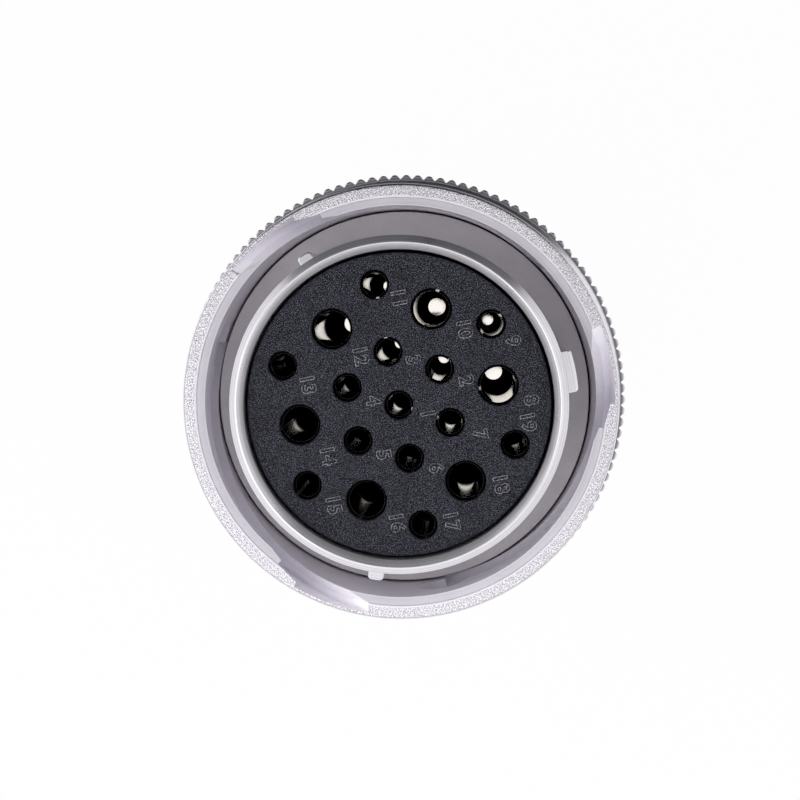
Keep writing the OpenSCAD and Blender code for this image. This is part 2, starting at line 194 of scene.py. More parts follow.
class Graph:
    """Builds the nodes of one material, world or Geometry Nodes tree."""

    def __init__(self, tree: bpy.types.NodeTree) -> None:
        """Empties a node tree and works in it."""
        self.tree = tree
        tree.nodes.clear()

    def node(
        self,
        kind: str,
        settings: Optional[Mapping[str, Any]] = None,
        inputs: Optional[Mapping[Union[str, int], Any]] = None,
    ) -> bpy.types.Node:
        """Adds any node.

        Args:
            kind: The node's type.
            settings: Properties of the node, set first.
            inputs: Values or links of its sockets, by name, identifier or index.

        Returns:
            The new node.
        """
        made = self.tree.nodes.new(kind)
        for name, value in (settings or {}).items():
            setattr(made, name, value)
        for key, value in (inputs or {}).items():
            self._feed(self._socket(made, key), value)
        return made

    @staticmethod
    def _socket(made: bpy.types.Node, key: Union[str, int]) -> bpy.types.NodeSocket:
        """Finds an input of a node.

        Args:
            made: The node.
            key: The input's identifier, name or index.

        Returns:
            The input.
        """
        named = {socket.identifier: socket for socket in made.inputs}
        return named.get(key) or made.inputs[key]

    def _feed(self, socket: bpy.types.NodeSocket, value: Any) -> None:
        """Links an input to a value or output, or sets its own value.

        Args:
            socket: The input.
            value: A value, an output or a setting.
        """
        source = value.socket if isinstance(value, Value) else value
        if isinstance(source, bpy.types.NodeSocket):
            self.tree.links.new(source, socket)
        else:
            socket.default_value = source

    def math(self, operation: str, *terms: Term) -> Value:
        """Adds a Math node for one operation."""
        made = self.node("ShaderNodeMath", {"operation": operation}, dict(enumerate(terms)))
        return Value(self, made.outputs[0])

    def place(self) -> bpy.types.NodeSocket:
        """The point on the piece, in millimetres of its own frame."""
        inputs = {0: self.node("ShaderNodeTexCoord").outputs["Object"], "Scale": 1 / MM}
        return self.node("ShaderNodeVectorMath", {"operation": "SCALE"}, inputs).outputs["Vector"]

    def axes(self, place: bpy.types.NodeSocket) -> tuple[Value, Value]:
        """Radius from the plug's axis and height of a point.

        Args:
            place: A point in millimetres.

        Returns:
            The radius and the height.
        """
        parts = self.node("ShaderNodeSeparateXYZ", inputs={0: place})
        x, y, z = (Value(self, output) for output in parts.outputs)
        return (x * x + y * y) ** 0.5, z

    def noise(
        self, place: bpy.types.NodeSocket, scale: float, detail: float = 3.0, rough: float = 0.6
    ) -> Value:
        """A three-dimensional noise around 0.5, with its scale in features for each millimetre."""
        sockets = {"Vector": place, "Scale": scale, "Detail": detail, "Roughness": rough}
        return Value(self, self.node("ShaderNodeTexNoise", inputs=sockets).outputs[0])

    def lines(self, along: Value, scale: float) -> Value:
        """A one-dimensional noise along a value, for tool marks."""
        sockets = {"W": along, "Scale": scale, "Detail": 2.0}
        return Value(self, self.node("ShaderNodeTexNoise", {"noise_dimensions": "1D"}, sockets).outputs[0])

    def cells(self, place: bpy.types.NodeSocket, scale: float) -> Value:
        """Distance from the middle of scattered cells, with their scale in cells for each millimetre."""
        sockets = {"Vector": place, "Scale": scale}
        return Value(self, self.node("ShaderNodeTexVoronoi", inputs=sockets).outputs["Distance"])

    def blend(self, share: Term, first: Any, second: Any) -> bpy.types.NodeSocket:
        """Mixes two colours.

        Args:
            share: Share of the second colour.
            first: The first colour, or an output that gives it.
            second: The second colour, or an output that gives it.

        Returns:
            The output with the mixed colour.
        """
        first, second = ((*c, 1.0) if isinstance(c, tuple) else c for c in (first, second))
        inputs = {"Factor_Float": share, "A_Color": first, "B_Color": second}
        return self.node("ShaderNodeMix", {"data_type": "RGBA"}, inputs).outputs[2]

    def relief(self, height: Value) -> bpy.types.NodeSocket:
        """A bumped normal from a height in millimetres."""
        inputs = {"Height": height, "Distance": MM, "Strength": 1.0}
        return self.node("ShaderNodeBump", inputs=inputs).outputs["Normal"]

    def diffuse(self, colour: Colour) -> bpy.types.NodeSocket:
        """A plain matt shader."""
        return self.node("ShaderNodeBsdfDiffuse", inputs={"Color": (*colour, 1.0)}).outputs[0]

    def end(self, shader: bpy.types.NodeSocket, kind: str = "ShaderNodeOutputMaterial") -> None:
        """Leads a shader to the tree's output."""
        self.node(kind, inputs={"Surface": shader})

    def surface(self, **inputs: Any) -> None:
        """Ends a material in one principled shader.

        Args:
            inputs: Values of its sockets, with underscores for the spaces in their names.
        """
        named = {key.replace("_", " "): value for key, value in inputs.items()}
        self.end(self.node("ShaderNodeBsdfPrincipled", inputs=named).outputs[0])


def empty_material(name: str) -> tuple[bpy.types.Material, Graph]:
    """Makes a material without nodes.

    Args:
        name: Name of the material.

    Returns:
        The material, and the graph that fills it.
    """
    made = bpy.data.materials.new(name)
    made.use_nodes = True
    return made, Graph(made.node_tree)


# Finishes


@dataclass(frozen=True)
class Finish:
    """What every finish shares: a name, a colour and a roughness."""

    name: str
    colour: Colour
    roughness: float

    def material(self) -> bpy.types.Material:
        """Makes the material.

        Returns:
            A new material that the finish's own nodes fill.
        """
        made, graph = empty_material(self.name)
        self.draw(graph)
        return made

    def draw(self, graph: Graph) -> None:
        """Adds the nodes of the finish."""
        raise NotImplementedError

    def shade(self, factor: float) -> Colour:
        """The finish's colour, darkened or lightened by a factor."""
        return tuple(channel * factor for channel in self.colour)


@dataclass(frozen=True)
class CastMetal(Finish):
    """Die-cast metal: grainy in front, matt in the bore, painted shade in the gap behind and between the
    teeth, painted highlights on the front's edges and in the grooves.
    """

    face_z: float
    gap_z: float
    bore_r: float
    mouth: float
    groove_r: float
    knurl_root_r: float
    knurl_top_r: float
    soft: float = 0.1
    front_soft: float = 0.15
    flat_band: Band = (-0.12, -0.03)
    flat_gloss: float = 0.1
    cloud_scale: float = 0.5
    cloud_share: float = 0.3
    cloud_rough: float = 0.1
    grain_scale: float = 7.0
    grain_rough: float = 0.7
    grain_depth: float = 0.12
    speckle_band: Band = (0.38, 0.62)
    mark_scale: float = 7.0
    mark_share: float = 0.15
    mark_depth: float = 0.004
    plain_tone: float = 0.5
    # Painted highlight lines on the front's edges
    worn_w: float = 0.06
    # Painted shade at the knurl's root and between its teeth
    soot_band: Band = (-0.2, -0.05)
    soot_share: float = 0.8
    soot_rough: float = 0.2
    # Painted shade in the bore below the gasket's front
    grease_h: float = 0.5
    low_shade: float = 0.6
    high_shade: float = 1.1
    # Colour factor of the painted shade
    dirt_shade: float = 0.1
    metallic: float = 0.95
    bore_matt: float = 0.75

    def worn_edge(self, radius: Value, edge_r: float) -> Value:
        """Painted highlight: 1 in a hair-wide ring round an edge of the front."""
        near, far = self.worn_w, self.worn_w + self.soft
        return radius.rise(-far, -near, edge_r) * (1 - radius.rise(near, far, edge_r))

    def draw(self, graph: Graph) -> None:
        """Adds the nodes of the finish.

        Args:
            graph: The material's nodes.
        """
        place = graph.place()
        radius, height = graph.axes(place)
        mouth_r, mouth_z = self.bore_r + self.mouth, self.face_z - self.mouth
        front = height.rise(-self.front_soft, 0.0, mouth_z)
        flat = height.rise(*self.flat_band, self.face_z)
        inside = (1 - radius.rise(0.0, self.soft, self.groove_r)) * (1 - flat)
        # Painted highlight: the locking grooves are painted at the full light shade and made non-metallic
        groove = radius.rise(0.0, self.soft, mouth_r) * inside
        clouds = graph.noise(place, self.cloud_scale)
        grain = graph.noise(place, self.grain_scale, rough=self.grain_rough)
        marks = graph.lines(radius + height, self.mark_scale)
        # Painted highlight: pale, non-metallic hair lines round the front's edges at the bore and at the
        # mouth
        edge_highlight = self.worn_edge(radius, self.bore_r).largest(self.worn_edge(radius, mouth_r)) * front
        # Painted shade: darker colour at the knurl's root and between its teeth, where shade falls
        painted_tooth_shade = radius.rise(*self.soot_band, self.knurl_root_r)
        painted_tooth_shade = painted_tooth_shade * (1 - radius.rise(self.knurl_root_r, self.knurl_top_r))
        # Painted shade: the bore darkens below the gasket's front, where the gap behind the ring lies in
        # shade
        painted_gap_shade = 1 - height.rise(-self.grease_h, 0.0, self.gap_z)
        painted_gap_shade = painted_gap_shade * (1 - radius.rise(0.0, self.soft, self.bore_r))
        smooth = clouds * self.cloud_share + marks * self.mark_share + self.plain_tone
        tone = (flat * grain.rise(*self.speckle_band) + (1 - flat) * smooth).largest(edge_highlight)
        light = graph.blend(tone.largest(groove), self.shade(self.low_shade), self.shade(self.high_shade))
        # Both painted shades together, mixed towards a dark copy of the metal's colour
        painted_shade = (painted_tooth_shade * self.soot_share).largest(painted_gap_shade)
        rough = clouds * self.cloud_rough + painted_tooth_shade * self.soot_rough - flat * self.flat_gloss
        graph.surface(
            Base_Color=graph.blend(painted_shade, light, self.shade(self.dirt_shade)),
            Metallic=self.metallic - (inside * self.bore_matt).largest(edge_highlight.largest(groove) * self.metallic),
            Roughness=rough + (self.roughness - self.cloud_rough / 2),
            Normal=graph.relief(flat * grain * self.grain_depth + (1 - flat) * marks * self.mark_depth),
        )


@dataclass(frozen=True)
class TurnedMetal(Finish):
    """Plated metal with the fine marks of turning and a slight haze; inside the rim it is painted paler and
    more matt as a highlight, with painted shade at the foot of the inner bevel.
    """

    mark_scale: float = 9.0
    mark_shade: float = 0.3
    mark_depth: float = 0.003
    mark_lean: float = 1.3
    mark_band: Band = (0.3, 0.7)
    haze_scale: float = 0.4
    haze: float = 0.25
    haze_matt: float = 0.2
    haze_rough: float = 0.1
    speck_scale: float = 5.0
    speck_detail: float = 4.0
    speck_shade: float = 0.25
    speck_rough: float = 0.08
    speck_depth_share: float = 0.6
    bright_shade: float = 1.12
    dull_shade: float = 0.66
    metallic: float = 0.9
    # Inside of the rim, painted paler and more matt as a highlight
    pale_r: float = 0.0
    pale_soft: float = 0.1
    pale_share: float = 0.3
    pale_matt: float = 0.1
    # Painted shade at the foot of the rim's inner bevel
    dirt_z: float = 0.0
    dirt_h: float = 0.55
    dirt_share: float = 0.25
    dirt_shade: float = 0.12

    def draw(self, graph: Graph) -> None:
        """Adds the nodes of the finish.

        Args:
            graph: The material's nodes.
        """
        place = graph.place()
        radius, height = graph.axes(place)
        clouds = graph.noise(place, self.haze_scale)
        specks = graph.noise(place, self.speck_scale, self.speck_detail)
        marks = graph.lines(radius + height * self.mark_lean, self.mark_scale)
        # Painted highlight: inside the rim the plating is painted paler and more matt
        pale = 1 - radius.rise(-self.pale_soft, 0.0, self.pale_r)
        tone = clouds * self.haze + marks.rise(*self.mark_band) * self.mark_shade + specks * self.speck_shade
        tone = tone * (1 - pale * self.pale_share)
        plate = graph.blend(tone, self.shade(self.bright_shade), self.shade(self.dull_shade))
        # Painted shade: the lower part of the inner bevel and the bore below it are darkened
        painted_shade = pale * (1 - height.rise(0.0, self.dirt_h, self.dirt_z))
        rough = clouds * self.haze_rough + specks * self.speck_rough
        graph.surface(
            Base_Color=graph.blend(painted_shade * self.dirt_share, plate, self.shade(self.dirt_shade)),
            Metallic=self.metallic - clouds * self.haze_matt - pale * self.pale_matt,
            Roughness=rough + (self.roughness - (self.haze_rough + self.speck_rough) / 2),
            Normal=graph.relief((marks + specks * self.speck_depth_share) * self.mark_depth),
        )


@dataclass(frozen=True)
class SparkedPlastic(Finish):
    """Moulded plastic with the pitted skin of a spark-eroded mould, and raised numbers whose flanks are
    painted pale as a highlight.
    """

    face_z: float
    number_rise: float
    cloud_scale: float = 0.35
    cloud_rough: float = 0.12
    skin_scale: float = 14.5
    skin_rough: float = 0.1
    skin_shade: float = 0.2
    pit_scale_share: float = 0.9
    pit_share: float = 0.6
    pit_depth: float = 0.05
    glint_band: Band = (0.55, 0.61)
    glint_least: float = 0.5
    glint_shade: float = 16.5
    flank_foot: float = 0.01
    flank_shares: tuple[float, float, float] = (0.2, 0.8, 0.99)
    # Painted highlight on the numbers' flanks
    flank_band: Band = (0.42, 0.56)
    flank_colour: Colour = (0.46, 0.46, 0.5)
    rough_drop: float = 0.1
    gloss: float = 0.16

    def draw(self, graph: Graph) -> None:
        """Adds the nodes of the finish.

        Args:
            graph: The material's nodes.
        """
        place = graph.place()
        _, height = graph.axes(place)
        clouds = graph.noise(place, self.cloud_scale)
        skin = graph.noise(place, self.skin_scale)
        pits = graph.cells(place, self.skin_scale * self.pit_scale_share)
        glint = skin.rise(*self.glint_band) * (self.glint_least + clouds)
        low, high, top = (self.number_rise * share for share in self.flank_shares)
        # Painted highlight: the numbers' flanks are painted pale, in broken patches
        flank = height.rise(self.flank_foot, low, self.face_z) * (1 - height.rise(high, top, self.face_z))
        tone = graph.blend(glint, self.shade(self.skin_shade), self.shade(self.glint_shade))
        rough = clouds * self.cloud_rough + skin * self.skin_rough
        graph.surface(
            Base_Color=graph.blend(flank * skin.rise(*self.flank_band), tone, self.flank_colour),
            Roughness=rough + (self.roughness - self.rough_drop),
            Specular_IOR_Level=self.gloss,
            Normal=graph.relief((skin + pits * self.pit_share) * self.pit_depth),
        )


@dataclass(frozen=True)
class Rubber(Finish):
    """Matt rubber with a dusty bloom, and painted shade in the crevice round what it sits on."""

    crevice_r: float = 0.0
    # Painted shade in the crevice at the inner edge
    crevice_band: Band = (0.1, 0.3)
    crevice_share: float = 0.5
    crevice_shade: float = 0.1
    bloom_scale: float = 0.45
    bloom: float = 0.35
    dust_scale: float = 4.0
    dust: float = 0.3
    dust_rough: float = 0.2
    dust_depth: float = 0.01
    detail: float = 4.0
    bare_shade: float = 0.8
    dusty_shade: float = 1.35

    def draw(self, graph: Graph) -> None:
        """Adds the nodes of the finish.

        Args:
            graph: The material's nodes.
        """
        place = graph.place()
        radius, _ = graph.axes(place)
        clouds = graph.noise(place, self.bloom_scale, self.detail)
        dust = graph.noise(place, self.dust_scale, self.detail)
        # Painted shade: a dark line round the inner edge, where the crevice lies in shade
        painted_crevice_shade = 1 - radius.rise(*self.crevice_band, self.crevice_r)
        share = clouds * self.bloom + dust * self.dust
        bloomed = graph.blend(share, self.shade(self.bare_shade), self.shade(self.dusty_shade))
        graph.surface(
            Base_Color=graph.blend(painted_crevice_shade * self.crevice_share, bloomed, self.shade(self.crevice_shade)),
            Roughness=dust * self.dust_rough + (self.roughness - self.dust_rough / 2),
            Normal=graph.relief(dust * self.dust_depth),
        )


@dataclass(frozen=True)
class ContactPlating(Finish):
    """Plated contacts: bright on the bore's flat end and where the pins rub; painted black shade between
    them and at the tip, and walls painted darker than the flat end.
    """

    bore_end_z: float
    tip_z: float
    rubbed: float = 11.0
    rubbed_share: float = 0.8
    end_band: Band = (0.02, 0.06)
    tip_band: Band = (-0.3, -0.2)
    wall_band: Band = (0.1, 0.3)
    wall_shade: float = 0.6
    tarnish_colour: Colour = (0.002, 0.002, 0.002)
    cloud_scale: float = 1.2
    mark_scale: float = 14.0
    mark_depth: float = 0.0001
    uneven: float = 0.04

    def draw(self, graph: Graph) -> None:
        """Adds the nodes of the finish.

        Args:
            graph: The material's nodes.
        """
        place = graph.place()
        _, height = graph.axes(place)
        clouds = graph.noise(place, self.cloud_scale)
        marks = graph.lines(height, self.mark_scale)
        # Painted shade: the bore is painted black from near its flat end up to the rubbed band, and again at
        # the tip
        painted_bore_shade = height.rise(*self.end_band, self.bore_end_z)
        painted_bore_shade = painted_bore_shade * (1 - height.rise(-self.rubbed, -self.rubbed_share * self.rubbed, self.tip_z))
        painted_bore_shade = painted_bore_shade.largest(height.rise(*self.tip_band, self.tip_z))
        # Painted shade: the walls are a darker copy of the plating than the flat end
        plate = graph.blend(
            height.rise(*self.wall_band, self.bore_end_z), self.colour, self.shade(self.wall_shade)
        )
        graph.surface(
            Base_Color=graph.blend(painted_bore_shade, plate, self.tarnish_colour),
            Metallic=1 - painted_bore_shade,
            Specular_IOR_Level=0.0,
            Roughness=(marks + clouds) * self.uneven + (self.roughness - self.uneven),
            Normal=graph.relief(marks * self.mark_depth),
        )


# Meshes


def level(angle: float) -> Vector:
    """A level direction."""
    return Vector((math.cos(math.radians(angle)), math.sin(math.radians(angle)), 0))


def spin(angle: float) -> Matrix:
    """A turn about the plug's axis."""
    return Matrix.Rotation(math.radians(angle), 4, "Z")


def quarter(steps: int) -> list[float]:
    """Even angles over a quarter of a circle, in radians."""
    return [math.pi / 2 * i / steps for i in range(steps + 1)]


def rounded(corners: Sequence[Corner], steps: int = 4) -> list[Vector]:
    """Rounds the corners of a closed outline.

    Args:
        corners: Radius, height and fillet of each corner, in order round the outline.
        steps: Number of edges in each fillet.

    Returns:
        The outline's points, as radius and height.
    """
    most = 0.49
    points: list[Vector] = []
    for i, (radius, height, fillet) in enumerate(corners):
        here = Vector((radius, height))
        if fillet <= 0:
            points.append(here)
            continue
        back = Vector(corners[i - 1][:2]) - here
        ahead = Vector(corners[(i + 1) % len(corners)][:2]) - here
        reach = fillet / math.tan(back.angle(ahead) / 2)
        reach = min(reach, back.length * most, ahead.length * most)
        start = here + back.normalized() * reach
        end = here + ahead.normalized() * reach
        for step in range(steps + 1):
            share = step / steps
            points.append(start.lerp(here, share).lerp(here.lerp(end, share), share))
    return points


def band(inner_r: float, outer_r: float, low: float, high: float, edge: float) -> list[Corner]:
    """Corners of a flat ring's section, with the same rounding at each."""
    return [(inner_r, low, edge), (outer_r, low, edge), (outer_r, high, edge), (inner_r, high, edge)]


def finished(work: bmesh.types.BMesh, name: str) -> bpy.types.Mesh:
    """Closes a mesh's seams, turns its faces outwards and stores it.

    Args:
        work: The mesh in progress, which is freed.
        name: Name of the stored mesh.

    Returns:
        The stored mesh.
    """
    bmesh.ops.remove_doubles(work, verts=work.verts, dist=WELD)
    loose = [edge for edge in work.edges if not edge.link_faces]
    bmesh.ops.delete(work, geom=loose, context="EDGES")
    bmesh.ops.recalc_face_normals(work, faces=work.faces)
    mesh = bpy.data.meshes.new(name)
    work.to_mesh(mesh)
    work.free()
    return mesh


def skinned(rings: Sequence[Sequence[Vector]], name: str, loop: bool = False) -> bpy.types.Mesh:
    """Skins rings of points into a closed mesh.

    Args:
        rings: Rings with as many points each.
        name: Name of the mesh.
        loop: Whether the last ring joins the first; otherwise both ends get caps.

    Returns:
        The closed mesh.
    """
    work = bmesh.new()
    made = [[work.verts.new(point) for point in ring] for ring in rings]
    sides = len(rings[0])
    for i in range(len(made) if loop else len(made) - 1):
        near, far = made[i], made[(i + 1) % len(made)]
        for j in range(sides):
            k = (j + 1) % sides
            work.faces.new((near[j], near[k], far[k], far[j]))
    if not loop:
        work.faces.new(made[0])
        work.faces.new(made[-1])
    return finished(work, name)


def turned(
    corners: Sequence[Corner],
    segments: int,
    name: str,
    cutting: Optional[Callable[[float, float, float], float]] = None,
) -> bpy.types.Mesh:
    """Revolves a closed section about the plug's axis.

    Args:
        corners: Radius, height and fillet of each corner of the section.
        segments: Number of segments round the axis.
        name: Name of the mesh.
        cutting: Gives a point's radius from its section's radius, its height and its angle in radians.

    Returns:
        The closed mesh.
    """
    section = rounded(corners)
    rings = []
    for i in range(segments):
        angle = math.tau * i / segments
        radii = [cutting(p.x, p.y, angle) if cutting else p.x for p in section]
        rings.append([
            Vector((r * math.cos(angle), r * math.sin(angle), p.y)) for r, p in zip(radii, section)
        ])
    return skinned(rings, name, loop=True)


def prism(outline: Sequence[Sequence[float]], low: float, high: float, name: str) -> bpy.types.Mesh:
    """An upright block with a level outline, between two heights."""
    return skinned([[Vector((point[0], point[1], z)) for point in outline] for z in (low, high)], name)


def block(low: Corner, high: Corner, name: str) -> bpy.types.Mesh:
    """A box between two corners."""
    outline = ((low[0], low[1]), (high[0], low[1]), (high[0], high[1]), (low[0], high[1]))
    return prism(outline, low[2], high[2], name)


def held(data: bpy.types.ID, name: str) -> bpy.types.Object:
    """Puts data into an object of the scene.

    Args:
        data: A mesh, curve, camera or light.
        name: Name of the object.

    Returns:
        The object.
    """
    holder = bpy.data.objects.new(name, data)
    bpy.context.scene.collection.objects.link(holder)
    return holder


def evaluated(holder: bpy.types.Object) -> bpy.types.Mesh:
    """Turns an object with modifiers into a plain mesh.

    Args:
        holder: The object, which is removed.

    Returns:
        The mesh.
    """
    depsgraph = bpy.context.evaluated_depsgraph_get()
    mesh = bpy.data.meshes.new_from_object(holder.evaluated_get(depsgraph))
    bpy.data.objects.remove(holder)
    return mesh


def combined(base: bpy.types.Mesh, tool: bpy.types.Mesh, how: Join) -> bpy.types.Mesh:
    """Combines two closed meshes.

    Args:
        base: The mesh that is worked on.
        tool: The mesh that is added, cut away or intersected.
        how: The way to combine them.

    Returns:
        The resulting mesh.
    """
    work, helper = held(base, "work"), held(tool, "helper")
    change = work.modifiers.new("combine", "BOOLEAN")
    change.operation = how.value
    change.solver = "MANIFOLD"
    change.object = helper
    result = evaluated(work)
    bpy.data.objects.remove(helper)
    return result


def moved(mesh: bpy.types.Mesh, matrix: Matrix) -> bpy.types.Mesh:
    """A mesh after it is moved or turned in place."""
    mesh.transform(matrix)
    return mesh


def merged(meshes: Sequence[bpy.types.Mesh], name: str) -> bpy.types.Mesh:
    """Joins meshes that stay clear of each other.

    Args:
        meshes: The meshes.
        name: Name of the result.

    Returns:
        One mesh.
    """
    work = bmesh.new()
    for mesh in meshes:
        work.from_mesh(mesh)
    return finished(work, name)


class RingOfCopies:
    """A Geometry Nodes tree that sets copies of a mesh at even steps on a circle."""

    INPUTS = (
        ("Geometry", "NodeSocketGeometry"),
        ("Count", "NodeSocketInt"),
        ("Radius", "NodeSocketFloat"),
        ("First Angle", "NodeSocketFloat"),
        ("Material", "NodeSocketMaterial"),
    )

    def __init__(self) -> None:
        """Builds the tree."""
        self.tree = bpy.data.node_groups.new("ring_of_copies", "GeometryNodeTree")
        for name, kind in self.INPUTS:
            self.tree.interface.new_socket(name, in_out="INPUT", socket_type=kind)
        self.tree.interface.new_socket("Geometry", in_out="OUTPUT", socket_type="NodeSocketGeometry")
        self._connect(Graph(self.tree))

    @staticmethod
    def _connect(graph: Graph) -> None:
        """Adds the tree's nodes: points on a circle, copies on them, real meshes, one material.

        Args:
            graph: The tree's nodes.
        """
        sizes = graph.node("NodeGroupInput").outputs
        count, radius, first = (Value(graph, sizes[name]) for name in ("Count", "Radius", "First Angle"))
        index = Value(graph, graph.node("GeometryNodeInputIndex").outputs[0])
        angle = index * math.tau / count + first
        spot = graph.node(
            "ShaderNodeCombineXYZ",
            inputs={0: graph.math("COSINE", angle) * radius, 1: graph.math("SINE", angle) * radius},
        )
        points = graph.node("GeometryNodePoints", inputs={"Count": count, "Position": spot.outputs[0]})
        euler = graph.node("ShaderNodeCombineXYZ", inputs={2: angle})
        turn = graph.node("FunctionNodeEulerToRotation", inputs={0: euler.outputs[0]})
        copies = graph.node(
            "GeometryNodeInstanceOnPoints",
            inputs={"Points": points.outputs[0], "Instance": sizes["Geometry"], "Rotation": turn.outputs[0]},
        )
        real = graph.node("GeometryNodeRealizeInstances", inputs={0: copies.outputs[0]})
        coated = graph.node(
            "GeometryNodeSetMaterial", inputs={"Geometry": real.outputs[0], "Material": sizes["Material"]}
        )
        graph.node("NodeGroupOutput", inputs={0: coated.outputs[0]})

    def copies(
        self,
        pattern: bpy.types.Mesh,
        count: int,
        radius: float,
        first: float = 0.0,
        material: Optional[bpy.types.Material] = None,
    ) -> bpy.types.Mesh:
        """Sets copies of a mesh on a circle.

        Args:
            pattern: The mesh, at the origin, with +X pointing outwards.
            count: Number of copies.
            radius: Radius of the circle.
            first: Angle of the first copy.
            material: Material of the copies.

        Returns:
            One plain mesh of all the copies.
        """
        holder = held(pattern, "pattern")
        change = holder.modifiers.new("copies", "NODES")
        change.node_group = self.tree
        values = {"Count": count, "Radius": radius, "First Angle": math.radians(first), "Material": material}
        for item in self.tree.interface.items_tree:
            if item.in_out == "INPUT" and item.name in values:
                change[item.identifier] = values[item.name]
        return evaluated(holder)


# Places in the frame


def ends(node: str) -> tuple[float, float]:
    """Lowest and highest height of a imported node, in millimetres."""
    low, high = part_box(node)
    return low.z / MM, high.z / MM


def low_z(node: str) -> float:
    """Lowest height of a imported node."""
    return ends(node)[0]


def high_z(node: str) -> float:
    """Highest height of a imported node."""
    return ends(node)[1]


def flange_z() -> float:
    """Height of the flange's rear face: the spring stands as far from it as from the thrust washer."""
    return sum(ends("wave_spring")) - high_z("thrust_washer")


def publish(
    mesh: bpy.types.Mesh,
    name: str,
    body: Body,
    slot: Slot,
    material: bpy.types.Material,
    *stands_for: str,
) -> bpy.types.Object:
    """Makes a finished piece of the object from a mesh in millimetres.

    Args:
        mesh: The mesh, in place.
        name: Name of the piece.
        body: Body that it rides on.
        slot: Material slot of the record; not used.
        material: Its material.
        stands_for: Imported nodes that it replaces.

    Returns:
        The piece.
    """
    mesh.transform(Matrix.Scale(MM, 4))
    mesh.materials.clear()
    mesh.materials.append(material)
    mesh.polygons.foreach_set("material_index", [0] * len(mesh.polygons))
    mesh.polygons.foreach_set("use_smooth", [True] * len(mesh.polygons))
    mesh.set_sharp_from_angle(angle=SHARP_ANGLE)
    mesh.name = name
    piece = held(mesh, name)
    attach(piece, body.value)
    if stands_for:
        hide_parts(*stands_for)
    LOG.info("%s: %d faces on %s", name, len(mesh.polygons), body.value)
    return piece


# Sub-assemblies


